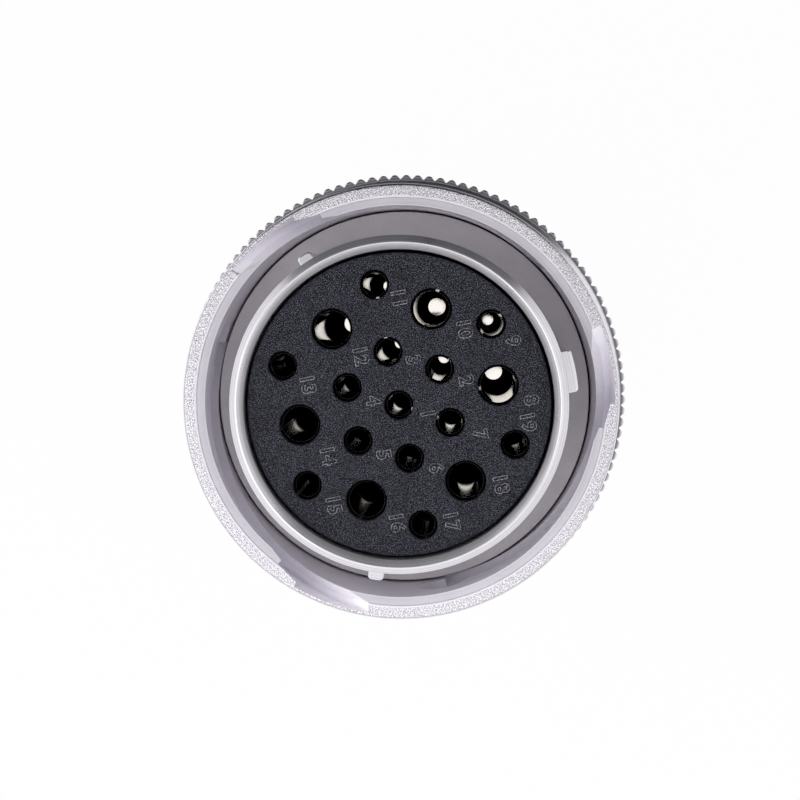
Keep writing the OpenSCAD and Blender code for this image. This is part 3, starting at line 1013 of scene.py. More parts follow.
@dataclass
class CouplingRing:
    """The knurled ring with its entry notches and helical locking grooves."""

    bore_r: float = 16.85
    groove_r: float = 18.3
    front_r: float = 18.7
    collar_r: float = 19.5
    journal_bore_r: float = 15.35
    shoulder_t: float = 4.7
    skirt_len: float = 5.0
    mouth: float = 0.7
    rear_edge: float = 0.25
    front_edge: float = 0.42
    mouth_edge: float = 0.06
    bore_edge: float = 0.08
    segments: int = 480
    knurl_root_r: float = 19.65
    knurl_h: float = 0.35
    knurl_count: int = 120
    knurl_margin: float = 1.2
    knurl_setback: float = 9.0
    tooth_share: float = 0.44
    tooth_sink: float = 0.15
    tooth_end: float = 0.15
    tooth_end_share: float = 0.6
    crest_power: float = 2.6
    crest: tuple[float, ...] = (1.0, 0.85, 0.6, 0.3, 0.0, -0.3, -0.6, -0.85, -1.0)
    groove_count: int = 3
    groove_w: float = 4.25
    groove_over: float = 0.45
    groove_steps: tuple[int, int, int] = (18, 8, 56)
    hair: float = 0.02
    notch_angle: float = 40.6
    notch_outer: float = 22.0
    notch_inner: float = 29.0
    ramp_start_share: float = 0.1
    ramp_end_share: float = 2.0
    ramp_depth_share: float = 0.4
    lock_turn: float = 99.0
    slope: float = 0.075
    lip_edge: float = 0.25
    detent_r: float = 2.2
    detent_segments: int = 48
    rear_z: float = field(init=False)
    face_z: float = field(init=False)
    knurl_ends: tuple[float, float] = field(init=False)

    def __post_init__(self) -> None:
        """Takes the ring's two ends from the frame, and the knurl's from them."""
        self.rear_z, self.face_z = ends("coupling_ring")
        self.knurl_ends = (self.rear_z + self.knurl_margin, self.face_z - self.knurl_setback)

    def section(self) -> list[Corner]:
        """The section of the ring without its teeth and grooves.

        Returns:
            Radius, height and fillet of each corner.
        """
        knurl_low, knurl_high = self.knurl_ends
        shoulder_low = self.rear_z + self.skirt_len
        shoulder_high = shoulder_low + self.shoulder_t
        return [
            (self.bore_r, self.rear_z, Edge.BROKEN),
            (self.collar_r, self.rear_z, self.rear_edge),
            (self.collar_r, knurl_low, Edge.SHARP),
            (self.knurl_root_r, knurl_low, Edge.CRISP),
            (self.knurl_root_r, knurl_high, Edge.CRISP),
            (self.collar_r, knurl_high, Edge.SHARP),
            (self.front_r, knurl_high + self.collar_r - self.front_r, Edge.ROUND),
            (self.front_r, self.face_z, self.front_edge),
            (self.bore_r + self.mouth, self.face_z, self.mouth_edge),
            (self.bore_r, self.face_z - self.mouth, self.bore_edge),
            (self.bore_r, shoulder_high, Edge.SHARP),
            (self.journal_bore_r, shoulder_high, Edge.FINE),
            (self.journal_bore_r, shoulder_low, Edge.FINE),
            (self.bore_r, shoulder_low, Edge.SHARP),
        ]

    def lip(self, turn: float, start: float) -> float:
        """Depth of the lip's underside, or a height clear of the face before the lip starts."""
        return -OVER if turn < start else self.lip_edge + self.slope * (turn - start)

    def groove_floor(self, turn: float) -> float:
        """Depth of the groove's rear wall under the lip."""
        return self.groove_w + self.slope * (turn - self.notch_outer)

    def outer_floor(self, turn: float) -> float:
        """Depth of the groove's rear wall at its outer edge."""
        ramp = self.groove_w * turn / self.notch_outer
        return ramp if turn < self.notch_outer else self.groove_floor(turn)

    def inner_floor(self, turn: float) -> float:
        """Depth of the groove's rear wall at the bore, which starts as a slower ramp.

        Args:
            turn: Angle from the start of the notch.

        Returns:
            The depth below the face.
        """
        middle = self.notch_outer
        start, end = self.ramp_start_share * middle, self.ramp_end_share * middle
        step = self.ramp_depth_share * self.groove_w
        if turn <= start:
            return 0.0
        if turn <= middle:
            return step * (turn - start) / (middle - start)
        if turn <= end:
            return step + (self.groove_floor(end) - step) * (turn - middle) / (end - middle)
        return self.groove_floor(turn)

    def groove(self) -> bpy.types.Mesh:
        """The space of one locking groove, which winds clockwise from +X.

        Returns:
            The space as a closed mesh.
        """
        inner_r = self.bore_r - self.groove_over
        limits = (0.0, self.notch_outer, self.notch_inner, self.lock_turn)
        turns: list[float] = []
        for low, high, steps in zip(limits, limits[1:], self.groove_steps):
            span = high - low - 2 * self.hair
            turns += [low + self.hair + span * i / steps for i in range(steps + 1)]
        rings = []
        for turn in turns:
            depths = (
                (inner_r, self.lip(turn, self.notch_inner)),
                (self.groove_r, self.lip(turn, self.notch_outer)),
                (self.groove_r, self.outer_floor(turn)),
                (inner_r, self.inner_floor(turn)),
            )
            rings.append([level(-turn) * r + Vector((0, 0, self.face_z - depth)) for r, depth in depths])
        return skinned(rings, "groove")

    def detent(self) -> bpy.types.Mesh:
        """The space of the round pocket at the locked end of a groove.

        Returns:
            The space as a closed mesh, on the +X side.
        """
        inner_r = self.bore_r - self.groove_over
        section = band(0.0, self.detent_r, 0.0, self.groove_r - inner_r, Edge.SHARP)
        height = self.face_z - self.lip(self.lock_turn, self.notch_inner)
        spot = Matrix.Translation((inner_r, 0, height)) @ Matrix.Rotation(math.pi / 2, 4, "Y")
        return moved(turned(section, self.detent_segments, "detent"), spot)

    def tooth(self) -> bpy.types.Mesh:
        """One knurl tooth with a round crest and sloping ends.

        Returns:
            The tooth as a closed mesh, at the origin's +X side.
        """
        low, high = self.knurl_ends
        half = self.tooth_share * math.tau * self.knurl_root_r / self.knurl_count
        rings = []
        for z, share in (
            (low, self.tooth_end_share),
            (low + self.tooth_end, 1.0),
            (high - self.tooth_end, 1.0),
            (high, self.tooth_end_share),
        ):
            ring = [Vector((-self.tooth_sink, side * half, z)) for side in (-1, 1)]
            for y in self.crest:
                height = self.knurl_h * share * (1 - abs(y) ** self.crest_power)
                ring.append(Vector((height, half * y, z)))
            rings.append(ring)
        return skinned(rings, "tooth")

    def build(self, patterns: RingOfCopies, finish: Finish) -> bpy.types.Object:
        """Makes the ring.

        Args:
            patterns: The tree that sets copies on a circle.
            finish: Finish of the ring.

        Returns:
            The piece.
        """
        ring = turned(self.section(), self.segments, "ring")
        teeth = patterns.copies(self.tooth(), self.knurl_count, self.knurl_root_r)
        ring = combined(ring, teeth, Join.ADD)
        locked = self.notch_angle - self.lock_turn
        for space, first in ((self.groove(), self.notch_angle), (self.detent(), locked)):
            ring = combined(ring, patterns.copies(space, self.groove_count, 0.0, first), Join.CUT)
        coat = finish.material()
        return publish(ring, "ring_with_knurl", Body.RING, Slot.CAST, coat, "coupling_ring", "ring_shoulder")


@dataclass(frozen=True)
class Key:
    """One key on the shell's nose."""

    angle: float
    width: float
    height: float


@dataclass
class PlugShell:
    """The keyed shell and the gasket on its flange."""

    nose_bore_r: float = 13.03
    nose_r: float = 14.23
    rim_r: float = 13.594
    rim_chamfer: float = 0.7
    rim_edge: float = 0.12
    flange_r: float = 16.4
    journal_r: float = 15.3
    thread_r: float = 15.0
    rear_bore_r: float = 13.55
    clip_groove: float = 0.7
    seal_groove: float = 0.8
    seal_groove_w: float = 1.1
    keys: tuple[Key, ...] = (Key(MASTER_KEY_ANGLE, 3.57, 0.82), Key(141.0, 1.3, 0.67), Key(281.0, 1.3, 0.67))
    key_recess: float = 0.85
    key_corner: float = 0.32
    key_corner_steps: int = 6
    key_root: float = 0.6
    gasket_bulge: float = 0.28
    segments: int = 320

    @staticmethod
    def groove(radius: float, depth: float, low: float, high: float) -> list[Corner]:
        """Corners of a groove in a turned face, from its rear edge to its front edge."""
        places = ((radius, low), (radius - depth, low), (radius - depth, high), (radius, high))
        return [(*place, Edge.SHARP) for place in places]

    def section(self) -> list[Corner]:
        """The section of the shell without its keys.

        Returns:
            Radius, height and fillet of each corner.
        """
        rear, rim = low_z("plug_shell"), high_z("shell_nose")
        joint, flange, gasket = high_z("backshell"), flange_z(), low_z("face_gasket")
        seal = sum(ends("shell_seal")) / 2
        seal_ends = (seal - self.seal_groove_w / 2, seal + self.seal_groove_w / 2)
        return [
            (self.rear_bore_r, rear, Edge.FINE),
            (self.thread_r, rear, Edge.SOFT),
            *self.groove(self.thread_r, self.seal_groove, *seal_ends),
            (self.thread_r, joint, Edge.SHARP),
            (self.journal_r, joint, Edge.SHARP),
            *self.groove(self.journal_r, self.clip_groove, *ends("retaining_clip")),
            (self.journal_r, flange, Edge.SHARP),
            (self.flange_r, flange, Edge.FINE),
            (self.flange_r, gasket, Edge.SHARP),
            (self.nose_r, gasket, Edge.SHARP),
            (self.nose_r, rim - self.rim_chamfer, Edge.BROKEN),
            (self.rim_r, rim, self.rim_edge),
            (self.nose_bore_r, rim - self.rim_chamfer, Edge.BROKEN),
            (self.nose_bore_r, flange, Edge.SHARP),
            (self.rear_bore_r, flange, Edge.SHARP),
        ]

    def key(self, key: Key) -> bpy.types.Mesh:
        """One key, with a round outer face, round corners and broken edges.

        Args:
            key: Place and sizes of the key.

        Returns:
            The key as a closed mesh, in place.
        """
        low, high = high_z("face_gasket"), high_z("shell_nose") - self.key_recess
        corner, root = self.key_corner, self.nose_r - self.key_root
        arc = [(corner * math.cos(a), corner * math.sin(a)) for a in quarter(self.key_corner_steps)]
        rings = []
        for z, inset in ((low, 0.0), (high - Edge.FINE, 0.0), (high, Edge.FINE)):
            half, reach = key.width / 2 - inset, self.nose_r + key.height - inset
            flank = half - corner
            middle = math.sqrt(reach**2 - flank**2) - corner
            outline = [(root, half), (root, -half)]
            outline += [(middle + y, -flank - x) for x, y in arc]
            outline += [(math.sqrt(reach**2 - y**2), y) for y in (-flank / 2, 0.0, flank / 2)]
            outline += [(middle + x, flank + y) for x, y in arc]
            rings.append([Vector((x, y, z)) for x, y in outline])
        return moved(skinned(rings, "key"), spin(key.angle))

    def gasket(self) -> bpy.types.Mesh:
        """The flange's gasket, which bulges towards the ring.

        Returns:
            The gasket as a closed mesh.
        """
        low, high = ends("face_gasket")
        bulge_r = self.flange_r + self.gasket_bulge
        section = [
            (self.nose_r, low, Edge.SHARP),
            (self.flange_r, low, Edge.SHARP),
            (bulge_r, low + self.gasket_bulge, Edge.FINE),
            (bulge_r, high, Edge.BROKEN),
            (self.nose_r, high, Edge.BROKEN),
        ]
        return turned(section, self.segments, "gasket")

    def build(self, metal: Finish, rubber: Finish) -> list[bpy.types.Object]:
        """Makes the shell and the gasket.

        Args:
            metal: Finish of the shell.
            rubber: Finish of the gasket.

        Returns:
            The pieces.
        """
        shell = turned(self.section(), self.segments, "shell")
        for key in self.keys:
            shell = combined(shell, self.key(key), Join.ADD)
        coat, skin = metal.material(), rubber.material()
        return [
            publish(shell, "shell_with_keys", Body.PLUG, Slot.CAST, coat, "plug_shell", "shell_nose"),
            publish(self.gasket(), "flange_gasket", Body.PLUG, Slot.GASKET, skin, "face_gasket"),
        ]


@dataclass(frozen=True)
class ContactSize:
    """Sizes of one kind of socket contact."""

    bore_r: float
    wall: float = 0.2
    clearance: float = 0.03

    @property
    def outer_r(self) -> float:
        """Outer radius of the socket."""
        return self.bore_r + self.wall

    @property
    def hole_r(self) -> float:
        """Radius of its hole in the insert."""
        return self.outer_r + self.clearance


@dataclass(frozen=True)
class ContactRing:
    """One ring of like contacts."""

    name: str
    size: ContactSize
    pitch_r: float
    count: int
    first: float
    numbers: Sequence[int]


@dataclass
class Insert:
    """The numbered front insert and its nineteen socket contacts."""

    face_r: float = 12.77
    flange_r: float = 13.5
    flange_t: float = 3.0
    edge: float = 0.25
    flare: float = 0.12
    flare_steps: int = 6
    key_angle: float = MASTER_KEY_ANGLE
    key_w: float = 2.2
    key_h: float = 0.35
    segments: int = 256
    small_bore_r: float = 1.0
    large_bore_r: float = 1.5
    inner_pitch_r: float = 4.57
    large_pitch_r: float = 8.5
    outer_pitch_r: float = 10.3
    ring_count: int = 6
    tip_recess: float = 0.6
    tip_edge: float = 0.04
    bore_depth: float = 27.0
    end_share: float = 0.58
    lead: float = 0.12
    collar_step: float = 0.35
    collar_t: float = 1.4
    cup_depth: float = 5.0
    cup_open: float = 3.5
    cut_w: float = 0.3
    cut_len: float = 9.0
    contact_segments: int = 64
    numeral_h: float = 1.15
    numeral_share: float = 0.72
    numeral_gap: float = 1.1
    numeral_wall: float = 0.02
    numeral_bevel: float = 0.09
    # Distance and bearing of each number from its hole
    numeral_spots: Sequence[tuple[float, float]] = (
        (2.5, 2), (2.38, -5), (2.18, 0), (2.42, -9), (2.42, -10), (2.34, -1), (2.64, -3), (2.97, -6),
        (2.3, -20), (3.17, -12), (2.3, -11), (3.25, -24), (2.6, -18), (3.47, -29), (2.72, -17), (3.1, -17),
        (2.4, 28), (2.92, 15), (2.2, 81),
    )
    rear_z: float = field(init=False)
    face_z: float = field(init=False)

    def __post_init__(self) -> None:
        """Takes the insert's two ends from the frame."""
        self.rear_z, self.face_z = ends("front_insert")

    @property
    def numeral_rise(self) -> float:
        """Height of the numbers over the face."""
        return self.numeral_wall + self.numeral_bevel

    def rings(self) -> list[ContactRing]:
        """The rings of contacts, with their numbers.

        Returns:
            The middle contact and the three rings round it.
        """
        small, large = ContactSize(self.small_bore_r), ContactSize(self.large_bore_r)
        step = 360 / self.ring_count
        inner, big, outer = range(2, 8), range(8, 19, 2), range(9, 20, 2)
        return [
            ContactRing("socket_middle", small, 0.0, 1, 0.0, [1]),
            ContactRing("sockets_inner", small, self.inner_pitch_r, self.ring_count, step, inner),
            ContactRing("sockets_large", large, self.large_pitch_r, self.ring_count, step / 2, big),
            ContactRing("sockets_outer", small, self.outer_pitch_r, self.ring_count, step, outer),
        ]

    def hole(self, size: ContactSize) -> bpy.types.Mesh:
        """The space of one contact hole, with a flared mouth.

        Args:
            size: Sizes of the contact.

        Returns:
            The space as a closed mesh, at the origin.
        """
        flare, low, high = self.flare, self.rear_z - OVER, self.face_z + OVER
        places = [(0.0, low), (size.hole_r, low)]
        places += [
            (size.hole_r + flare * (1 - math.cos(a)), self.face_z - flare * (1 - math.sin(a)))
            for a in quarter(self.flare_steps)
        ]
        places += [(size.hole_r + flare, high), (0.0, high)]
        return turned([(*place, Edge.SHARP) for place in places], self.contact_segments, "hole")

    def insert(self, patterns: RingOfCopies) -> bpy.types.Mesh:
        """The insert with its holes.

        Args:
            patterns: The tree that sets copies on a circle.

        Returns:
            The insert as a closed mesh.
        """
        flange = self.rear_z + self.flange_t
        section = [
            (0.0, self.rear_z, Edge.SHARP),
            (self.flange_r, self.rear_z, Edge.FINE),
            (self.flange_r, flange, Edge.CRISP),
            (self.face_r, flange, Edge.SHARP),
            (self.face_r, self.face_z, self.edge),
            (0.0, self.face_z, Edge.SHARP),
        ]
        half, key_r = self.key_w / 2, self.flange_r + self.key_h
        key = block((self.face_r, -half, self.rear_z), (key_r, half, flange), "key")
        body = turned(section, self.segments, "insert")
        body = combined(body, moved(key, spin(self.key_angle)), Join.ADD)
        for ring in self.rings():
            holes = patterns.copies(self.hole(ring.size), ring.count, ring.pitch_r, ring.first)
            body = combined(body, holes, Join.CUT)
        return body

    def contact(self, size: ContactSize, tail: float) -> bpy.types.Mesh:
        """One socket contact with its tines parted, at the origin.

        Args:
            size: Sizes of the contact.
            tail: Height of its rear end.

        Returns:
            The contact as a closed mesh.
        """
        bore_r, outer_r, collar_r = size.bore_r, size.outer_r, size.outer_r + self.collar_step
        tip, end = self.face_z - self.tip_recess, self.face_z - self.bore_depth
        end_r = bore_r * self.end_share
        cone = bore_r - end_r
        cup, collar = tail + self.cup_depth, self.rear_z - self.collar_t
        section = [
            (0.0, cup, Edge.SHARP),
            (bore_r, cup, Edge.SHARP),
            (bore_r, tail, Edge.CRISP),
            (outer_r, tail, Edge.CRISP),
            (outer_r, collar, Edge.SHARP),
            (collar_r, collar, Edge.CRISP),
            (collar_r, self.rear_z, Edge.CRISP),
            (outer_r, self.rear_z, Edge.SHARP),
            (outer_r, tip, self.tip_edge),
            (bore_r + self.lead, tip, self.tip_edge),
            (bore_r, tip - 2 * self.lead, Edge.CRISP),
            (bore_r, tip - 4 * self.lead, Edge.SHARP),
            (bore_r, end + 2 * cone, Edge.SHARP),
            (bore_r, end + cone, Edge.FINE),
            (end_r, end, Edge.CRISP),
            (0.0, end, Edge.SHARP),
        ]
        reach, half = outer_r + OVER, self.cut_w / 2
        saw = block((-reach, -half, tip - self.cut_len), (reach, half, tip + OVER), "saw")
        scoop = block((0.0, -reach, tail - OVER), (reach, reach, tail + self.cup_open), "scoop")
        body = combined(turned(section, self.contact_segments, "contact"), saw, Join.CUT)
        return combined(body, scoop, Join.CUT)

    def numeral(self, number: int, spot: Vector) -> bpy.types.Mesh:
        """One raised number, with its top towards the master key.

        Args:
            number: The contact's number.
            spot: Its middle on the insert's face.

        Returns:
            The number as a mesh, in place.
        """
        text = bpy.data.curves.new("numeral", "FONT")
        text.body = str(number)
        text.size = self.numeral_h / self.numeral_share
        text.align_x = "CENTER"
        text.align_y = "CENTER"
        text.space_character = self.numeral_gap
        text.extrude = self.numeral_wall
        text.bevel_depth = self.numeral_bevel
        text.bevel_resolution = 1
        text.resolution_u = 6
        facing = spin(self.key_angle - 90)
        return moved(evaluated(held(text, "numeral")), Matrix.Translation(spot) @ facing)

    def numerals(self) -> bpy.types.Mesh:
        """All the numbers beside their holes.

        Returns:
            One mesh of all the numbers.
        """
        made = []
        for ring in self.rings():
            for place, number in enumerate(ring.numbers):
                hole = level(ring.first + 360 * place / ring.count) * ring.pitch_r
                reach, bearing = self.numeral_spots[number - 1]
                spot = hole + level(bearing) * reach + Vector((0, 0, self.face_z))
                made.append(self.numeral(number, spot))
        return merged(made, "numerals")

    def build(self, patterns: RingOfCopies, plastic: Finish, plating: Finish) -> list[bpy.types.Object]:
        """Makes the insert, its numbers and the contacts.

        Args:
            patterns: The tree that sets copies on a circle.
            plastic: Finish of the insert.
            plating: Finish of the contacts.

        Returns:
            The pieces.
        """
        black, metal = plastic.material(), plating.material()
        insert = self.insert(patterns)
        pieces = [
            publish(insert, "numbered_insert", Body.PLUG, Slot.PLASTIC, black, "front_insert"),
            publish(self.numerals(), "contact_numbers", Body.PLUG, Slot.PLASTIC, black),
        ]
        for ring in self.rings():
            nodes = [f"contact_{number}" for number in ring.numbers]
            pattern = self.contact(ring.size, low_z(nodes[0]))
            mesh = patterns.copies(pattern, ring.count, ring.pitch_r, ring.first, metal)
            pieces.append(publish(mesh, ring.name, Body.PLUG, Slot.PLATING, metal, *nodes))
        return pieces


@dataclass
class CableEnd:
    """The backshell, and the gland that grips the cable."""

    spigot_r: float = 10.5
    spigot_bore_r: float = 9.25
    neck_r: float = 12.6
    neck_gap: float = 1.5
    neck_curve: float = 8.0
    neck_steps: int = 18
    full_r: float = 16.4
    bore_r: float = 15.03
    chamber_r: float = 13.4
    chamber_edge: float = 0.5
    web_r: float = 7.0
    web_t: float = 1.8
    edge: float = 0.5
    flat_depth: float = 1.0
    flat_len: float = 6.0
    thread_pitch: float = 1.5
    thread_depth: float = 0.55
    thread_fade: float = 0.6
    thread_flank: float = 2.4
    thread_rows: int = 90
    cable_r: float = 6.0
    grommet_r: float = 9.2
    grommet_gap: float = 0.05
    washer_r: float = 10.47
    nut_bore_r: float = 10.53
    nut_flat: float = 11.98
    nut_corner: float = 13.23
    nut_bevel: float = 0.25
    nut_floor: float = 3.0
    nut_hole_r: float = 7.5
    nut_sides: int = 6
    segments: int = 256
    thread_low: float = field(init=False)
    neck_z: float = field(init=False)
    web_z: float = field(init=False)

    def __post_init__(self) -> None:
        """Takes the ends of the spigot's thread and the web's rear face from the frame."""
        self.thread_low = low_z("backshell") + self.edge
        self.neck_z = high_z("gland_nut") + self.neck_gap
        self.web_z = high_z("cable_grommet") + self.grommet_gap

    def thread(self, radius: float, height: float, angle: float) -> float:
        """Cuts the screw thread into the spigot.

        Args:
            radius: Radius of a point of the backshell's section.
            height: Its height.
            angle: Its angle round the axis, in radians.

        Returns:
            The radius with the thread.
        """
        low, high = self.thread_low, self.neck_z
        if abs(radius - self.spigot_r) > WELD or not low <= height <= high:
            return radius
        fade = min(1.0, (height - low) / self.thread_fade, (high - height) / self.thread_fade)
        phase = (height / self.thread_pitch - angle / math.tau) % 1.0
        return radius - self.thread_depth * fade * min(1.0, self.thread_flank * abs(phase - 0.5))

    def section(self) -> list[Corner]:
        """The section of the backshell without its flats.

        Returns:
            Radius, height and fillet of each corner.
        """
        rear, front = ends("backshell")
        neck, web, shell_rear = self.neck_z, self.web_z, low_z("plug_shell")
        chamber, swell = web + self.web_t, self.full_r - self.neck_r
        rise = (neck - self.thread_low) / self.thread_rows
        spigot = [(self.spigot_r, self.thread_low + rise * i) for i in range(self.thread_rows + 1)]
        curve = [
            (self.neck_r + swell * math.sin(a), neck + self.edge + self.neck_curve * (1 - math.cos(a)))
            for a in quarter(self.neck_steps)
        ]
        return [
            (self.spigot_bore_r, rear, Edge.FINE),
            (self.spigot_r - self.edge, rear, Edge.FINE),
            *((*place, Edge.SHARP) for place in spigot),
            (self.neck_r - self.edge, neck, Edge.SOFT),
            *((*place, Edge.SHARP) for place in curve),
            (self.full_r, front - self.edge, Edge.FINE),
            (self.full_r - self.edge, front, Edge.FINE),
            (self.bore_r, front, Edge.FINE),
            (self.bore_r, shell_rear, Edge.SHARP),
            (self.chamber_r, shell_rear, Edge.FINE),
            (self.chamber_r, chamber + self.chamber_r - self.web_r, self.chamber_edge),
            (self.web_r, chamber, Edge.ROUND),
            (self.web_r, web, Edge.FINE),
            (self.spigot_bore_r, web - self.spigot_bore_r + self.web_r, Edge.SHARP),
        ]

    def backshell(self) -> bpy.types.Mesh:
        """The backshell with its thread and spanner flats.

        Returns:
            The backshell as a closed mesh.
        """
        shell = turned(self.section(), self.segments, "backshell", self.thread)
        low = self.neck_z + self.neck_curve + 2 * self.edge
        high = low + self.flat_len
        near, far = self.full_r - self.flat_depth, self.full_r + OVER
        for y_low, y_high in ((near, far), (-far, -near)):
            flat = block((-far, y_low, low), (far, y_high, high), "flat")
            shell = combined(shell, flat, Join.CUT)
        return shell

    def nut(self) -> bpy.types.Mesh:
        """The hexagon nut, with its corners turned down at both ends.

        Returns:
            The nut as a closed mesh.
        """
        low, high = ends("gland_nut")
        drop = self.nut_corner - self.nut_flat
        floor = low + self.nut_floor
        section = [
            (self.nut_hole_r, low, Edge.ROUND),
            (self.nut_flat - drop, low, Edge.SOFT),
            (self.nut_corner, low + drop, Edge.SOFT),
            (self.nut_corner, high - drop, Edge.SOFT),
            (self.nut_flat - drop, high, Edge.FINE),
            (self.nut_bore_r, high, Edge.FINE),
            (self.nut_bore_r, floor, Edge.FINE),
            (self.nut_hole_r, floor, Edge.FINE),
        ]
        half = 180 / self.nut_sides
        outline = []
        for i in range(self.nut_sides):
            corner = 2 * half * i
            tip = level(corner) * self.nut_flat / math.cos(math.radians(half))
            for side in (-1, 1):
                middle = level(corner + side * half) * self.nut_flat
                outline.append(tip + (middle - tip).normalized() * self.nut_bevel)
        hexagon = prism(outline, low - OVER, high + OVER, "hexagon")
        return combined(turned(section, self.segments, "nut"), hexagon, Join.COMMON)

    def grommet(self) -> bpy.types.Mesh:
        """The rubber bush round the cable, coned where it seats on the web.

        Returns:
            The grommet as a closed mesh.
        """
        low, high = ends("cable_grommet")
        section = [
            (self.cable_r, low, Edge.ROUND),
            (self.grommet_r, low, Edge.SOFT),
            (self.grommet_r, self.web_z - self.spigot_bore_r + self.web_r, Edge.SOFT),
            (self.web_r, high, Edge.SOFT),
            (self.cable_r, high, Edge.SOFT),
        ]
        return turned(section, self.segments, "grommet")

    def build(self, metal: Finish, rubber: Finish, steel: Finish) -> list[bpy.types.Object]:
        """Makes the backshell, the grommet, the slip washer and the nut.

        Args:
            metal: Finish of the backshell and the nut.
            rubber: Finish of the grommet.
            steel: Finish of the washer.

        Returns:
            The pieces.
        """
        coat, skin, plate = metal.material(), rubber.material(), steel.material()
        section = band(self.web_r, self.washer_r, *ends("slip_washer"), Edge.BROKEN)
        washer = turned(section, self.segments, "washer")
        return [
            publish(self.backshell(), "backshell_with_thread", Body.PLUG, Slot.TURNED, coat, "backshell"),
            publish(self.grommet(), "cable_bush", Body.PLUG, Slot.SEAL, skin, "cable_grommet"),
            publish(washer, "gland_washer", Body.SLIP, Slot.SPRING, plate, "slip_washer"),
            publish(self.nut(), "hexagon_nut", Body.NUT, Slot.TURNED, coat, "gland_nut"),
        ]


@dataclass
class InnerPieces:
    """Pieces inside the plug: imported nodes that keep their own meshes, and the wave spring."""

    plastic: tuple[str, ...] = ("rear_insert",)
    metal: tuple[str, ...] = ("insert_lock_ring",)
    steel: tuple[str, ...] = ("thrust_washer", "retaining_clip")
    rubber: tuple[str, ...] = ("shell_seal",)
    spring_w: float = 0.95
    spring_t: float = 0.3
    spring_edge: float = 0.08
    spring_waves: int = 4
    ring_travel: float = 0.6
    segments: int = 256

    def spring(self, steel: Finish) -> bpy.types.Object:
        """Makes the wave spring.

        Args:
            steel: Finish of the spring.

        Returns:
            The piece.
        """
        low, high = ends("wave_spring")
        outer_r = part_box("wave_spring")[1].x / MM
        swing = (high - low - self.spring_t) / 2
        base = low + swing
        section = band(outer_r - self.spring_w, outer_r, base, base + self.spring_t, self.spring_edge)
        mesh = turned(section, self.segments, "spring")
        for point in mesh.vertices:
            point.co.z += swing * math.cos(self.spring_waves * math.atan2(point.co.y, point.co.x))
        piece = publish(mesh, "waved_spring", Body.PLUG, Slot.SPRING, steel.material(), "wave_spring")
        flange = flange_z()
        keep = 1 - self.ring_travel / (flange - high_z("thrust_washer"))
        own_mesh(piece)
        return piece

    def dress(self, nodes: Mapping[str, bpy.types.Object], finishes: Mapping[str, Finish]) -> None:
        """Gives each node its finish.

        Args:
            nodes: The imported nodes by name.
            finishes: A finish for each group of this class's fields.
        """
        for group, finish in finishes.items():
            material = finish.material()
            for name in getattr(self, group):
                mesh = nodes[name].data
                mesh.materials.clear()
                mesh.materials.append(material)
                LOG.info("%s: packed mesh in %s", name, finish.name)


@dataclass(frozen=True)
class Lamp:
    """A soft lamp that looks at the mating face: its direction, distance, side and power in watts."""

    name: str
    bearing: float
    height: float
    power: float
    reach: float = 400.0
    size: float = 220.0


@dataclass(frozen=True)
class Flag:
    """A dark leaning panel: its bearing, the distance and height of its two edges, and its width.

    A soft one holds back soft light as well as reflections.
    """

    name: str
    bearing: float
    low: tuple[float, float]
    high: tuple[float, float]
    width: float
    soft: bool = False


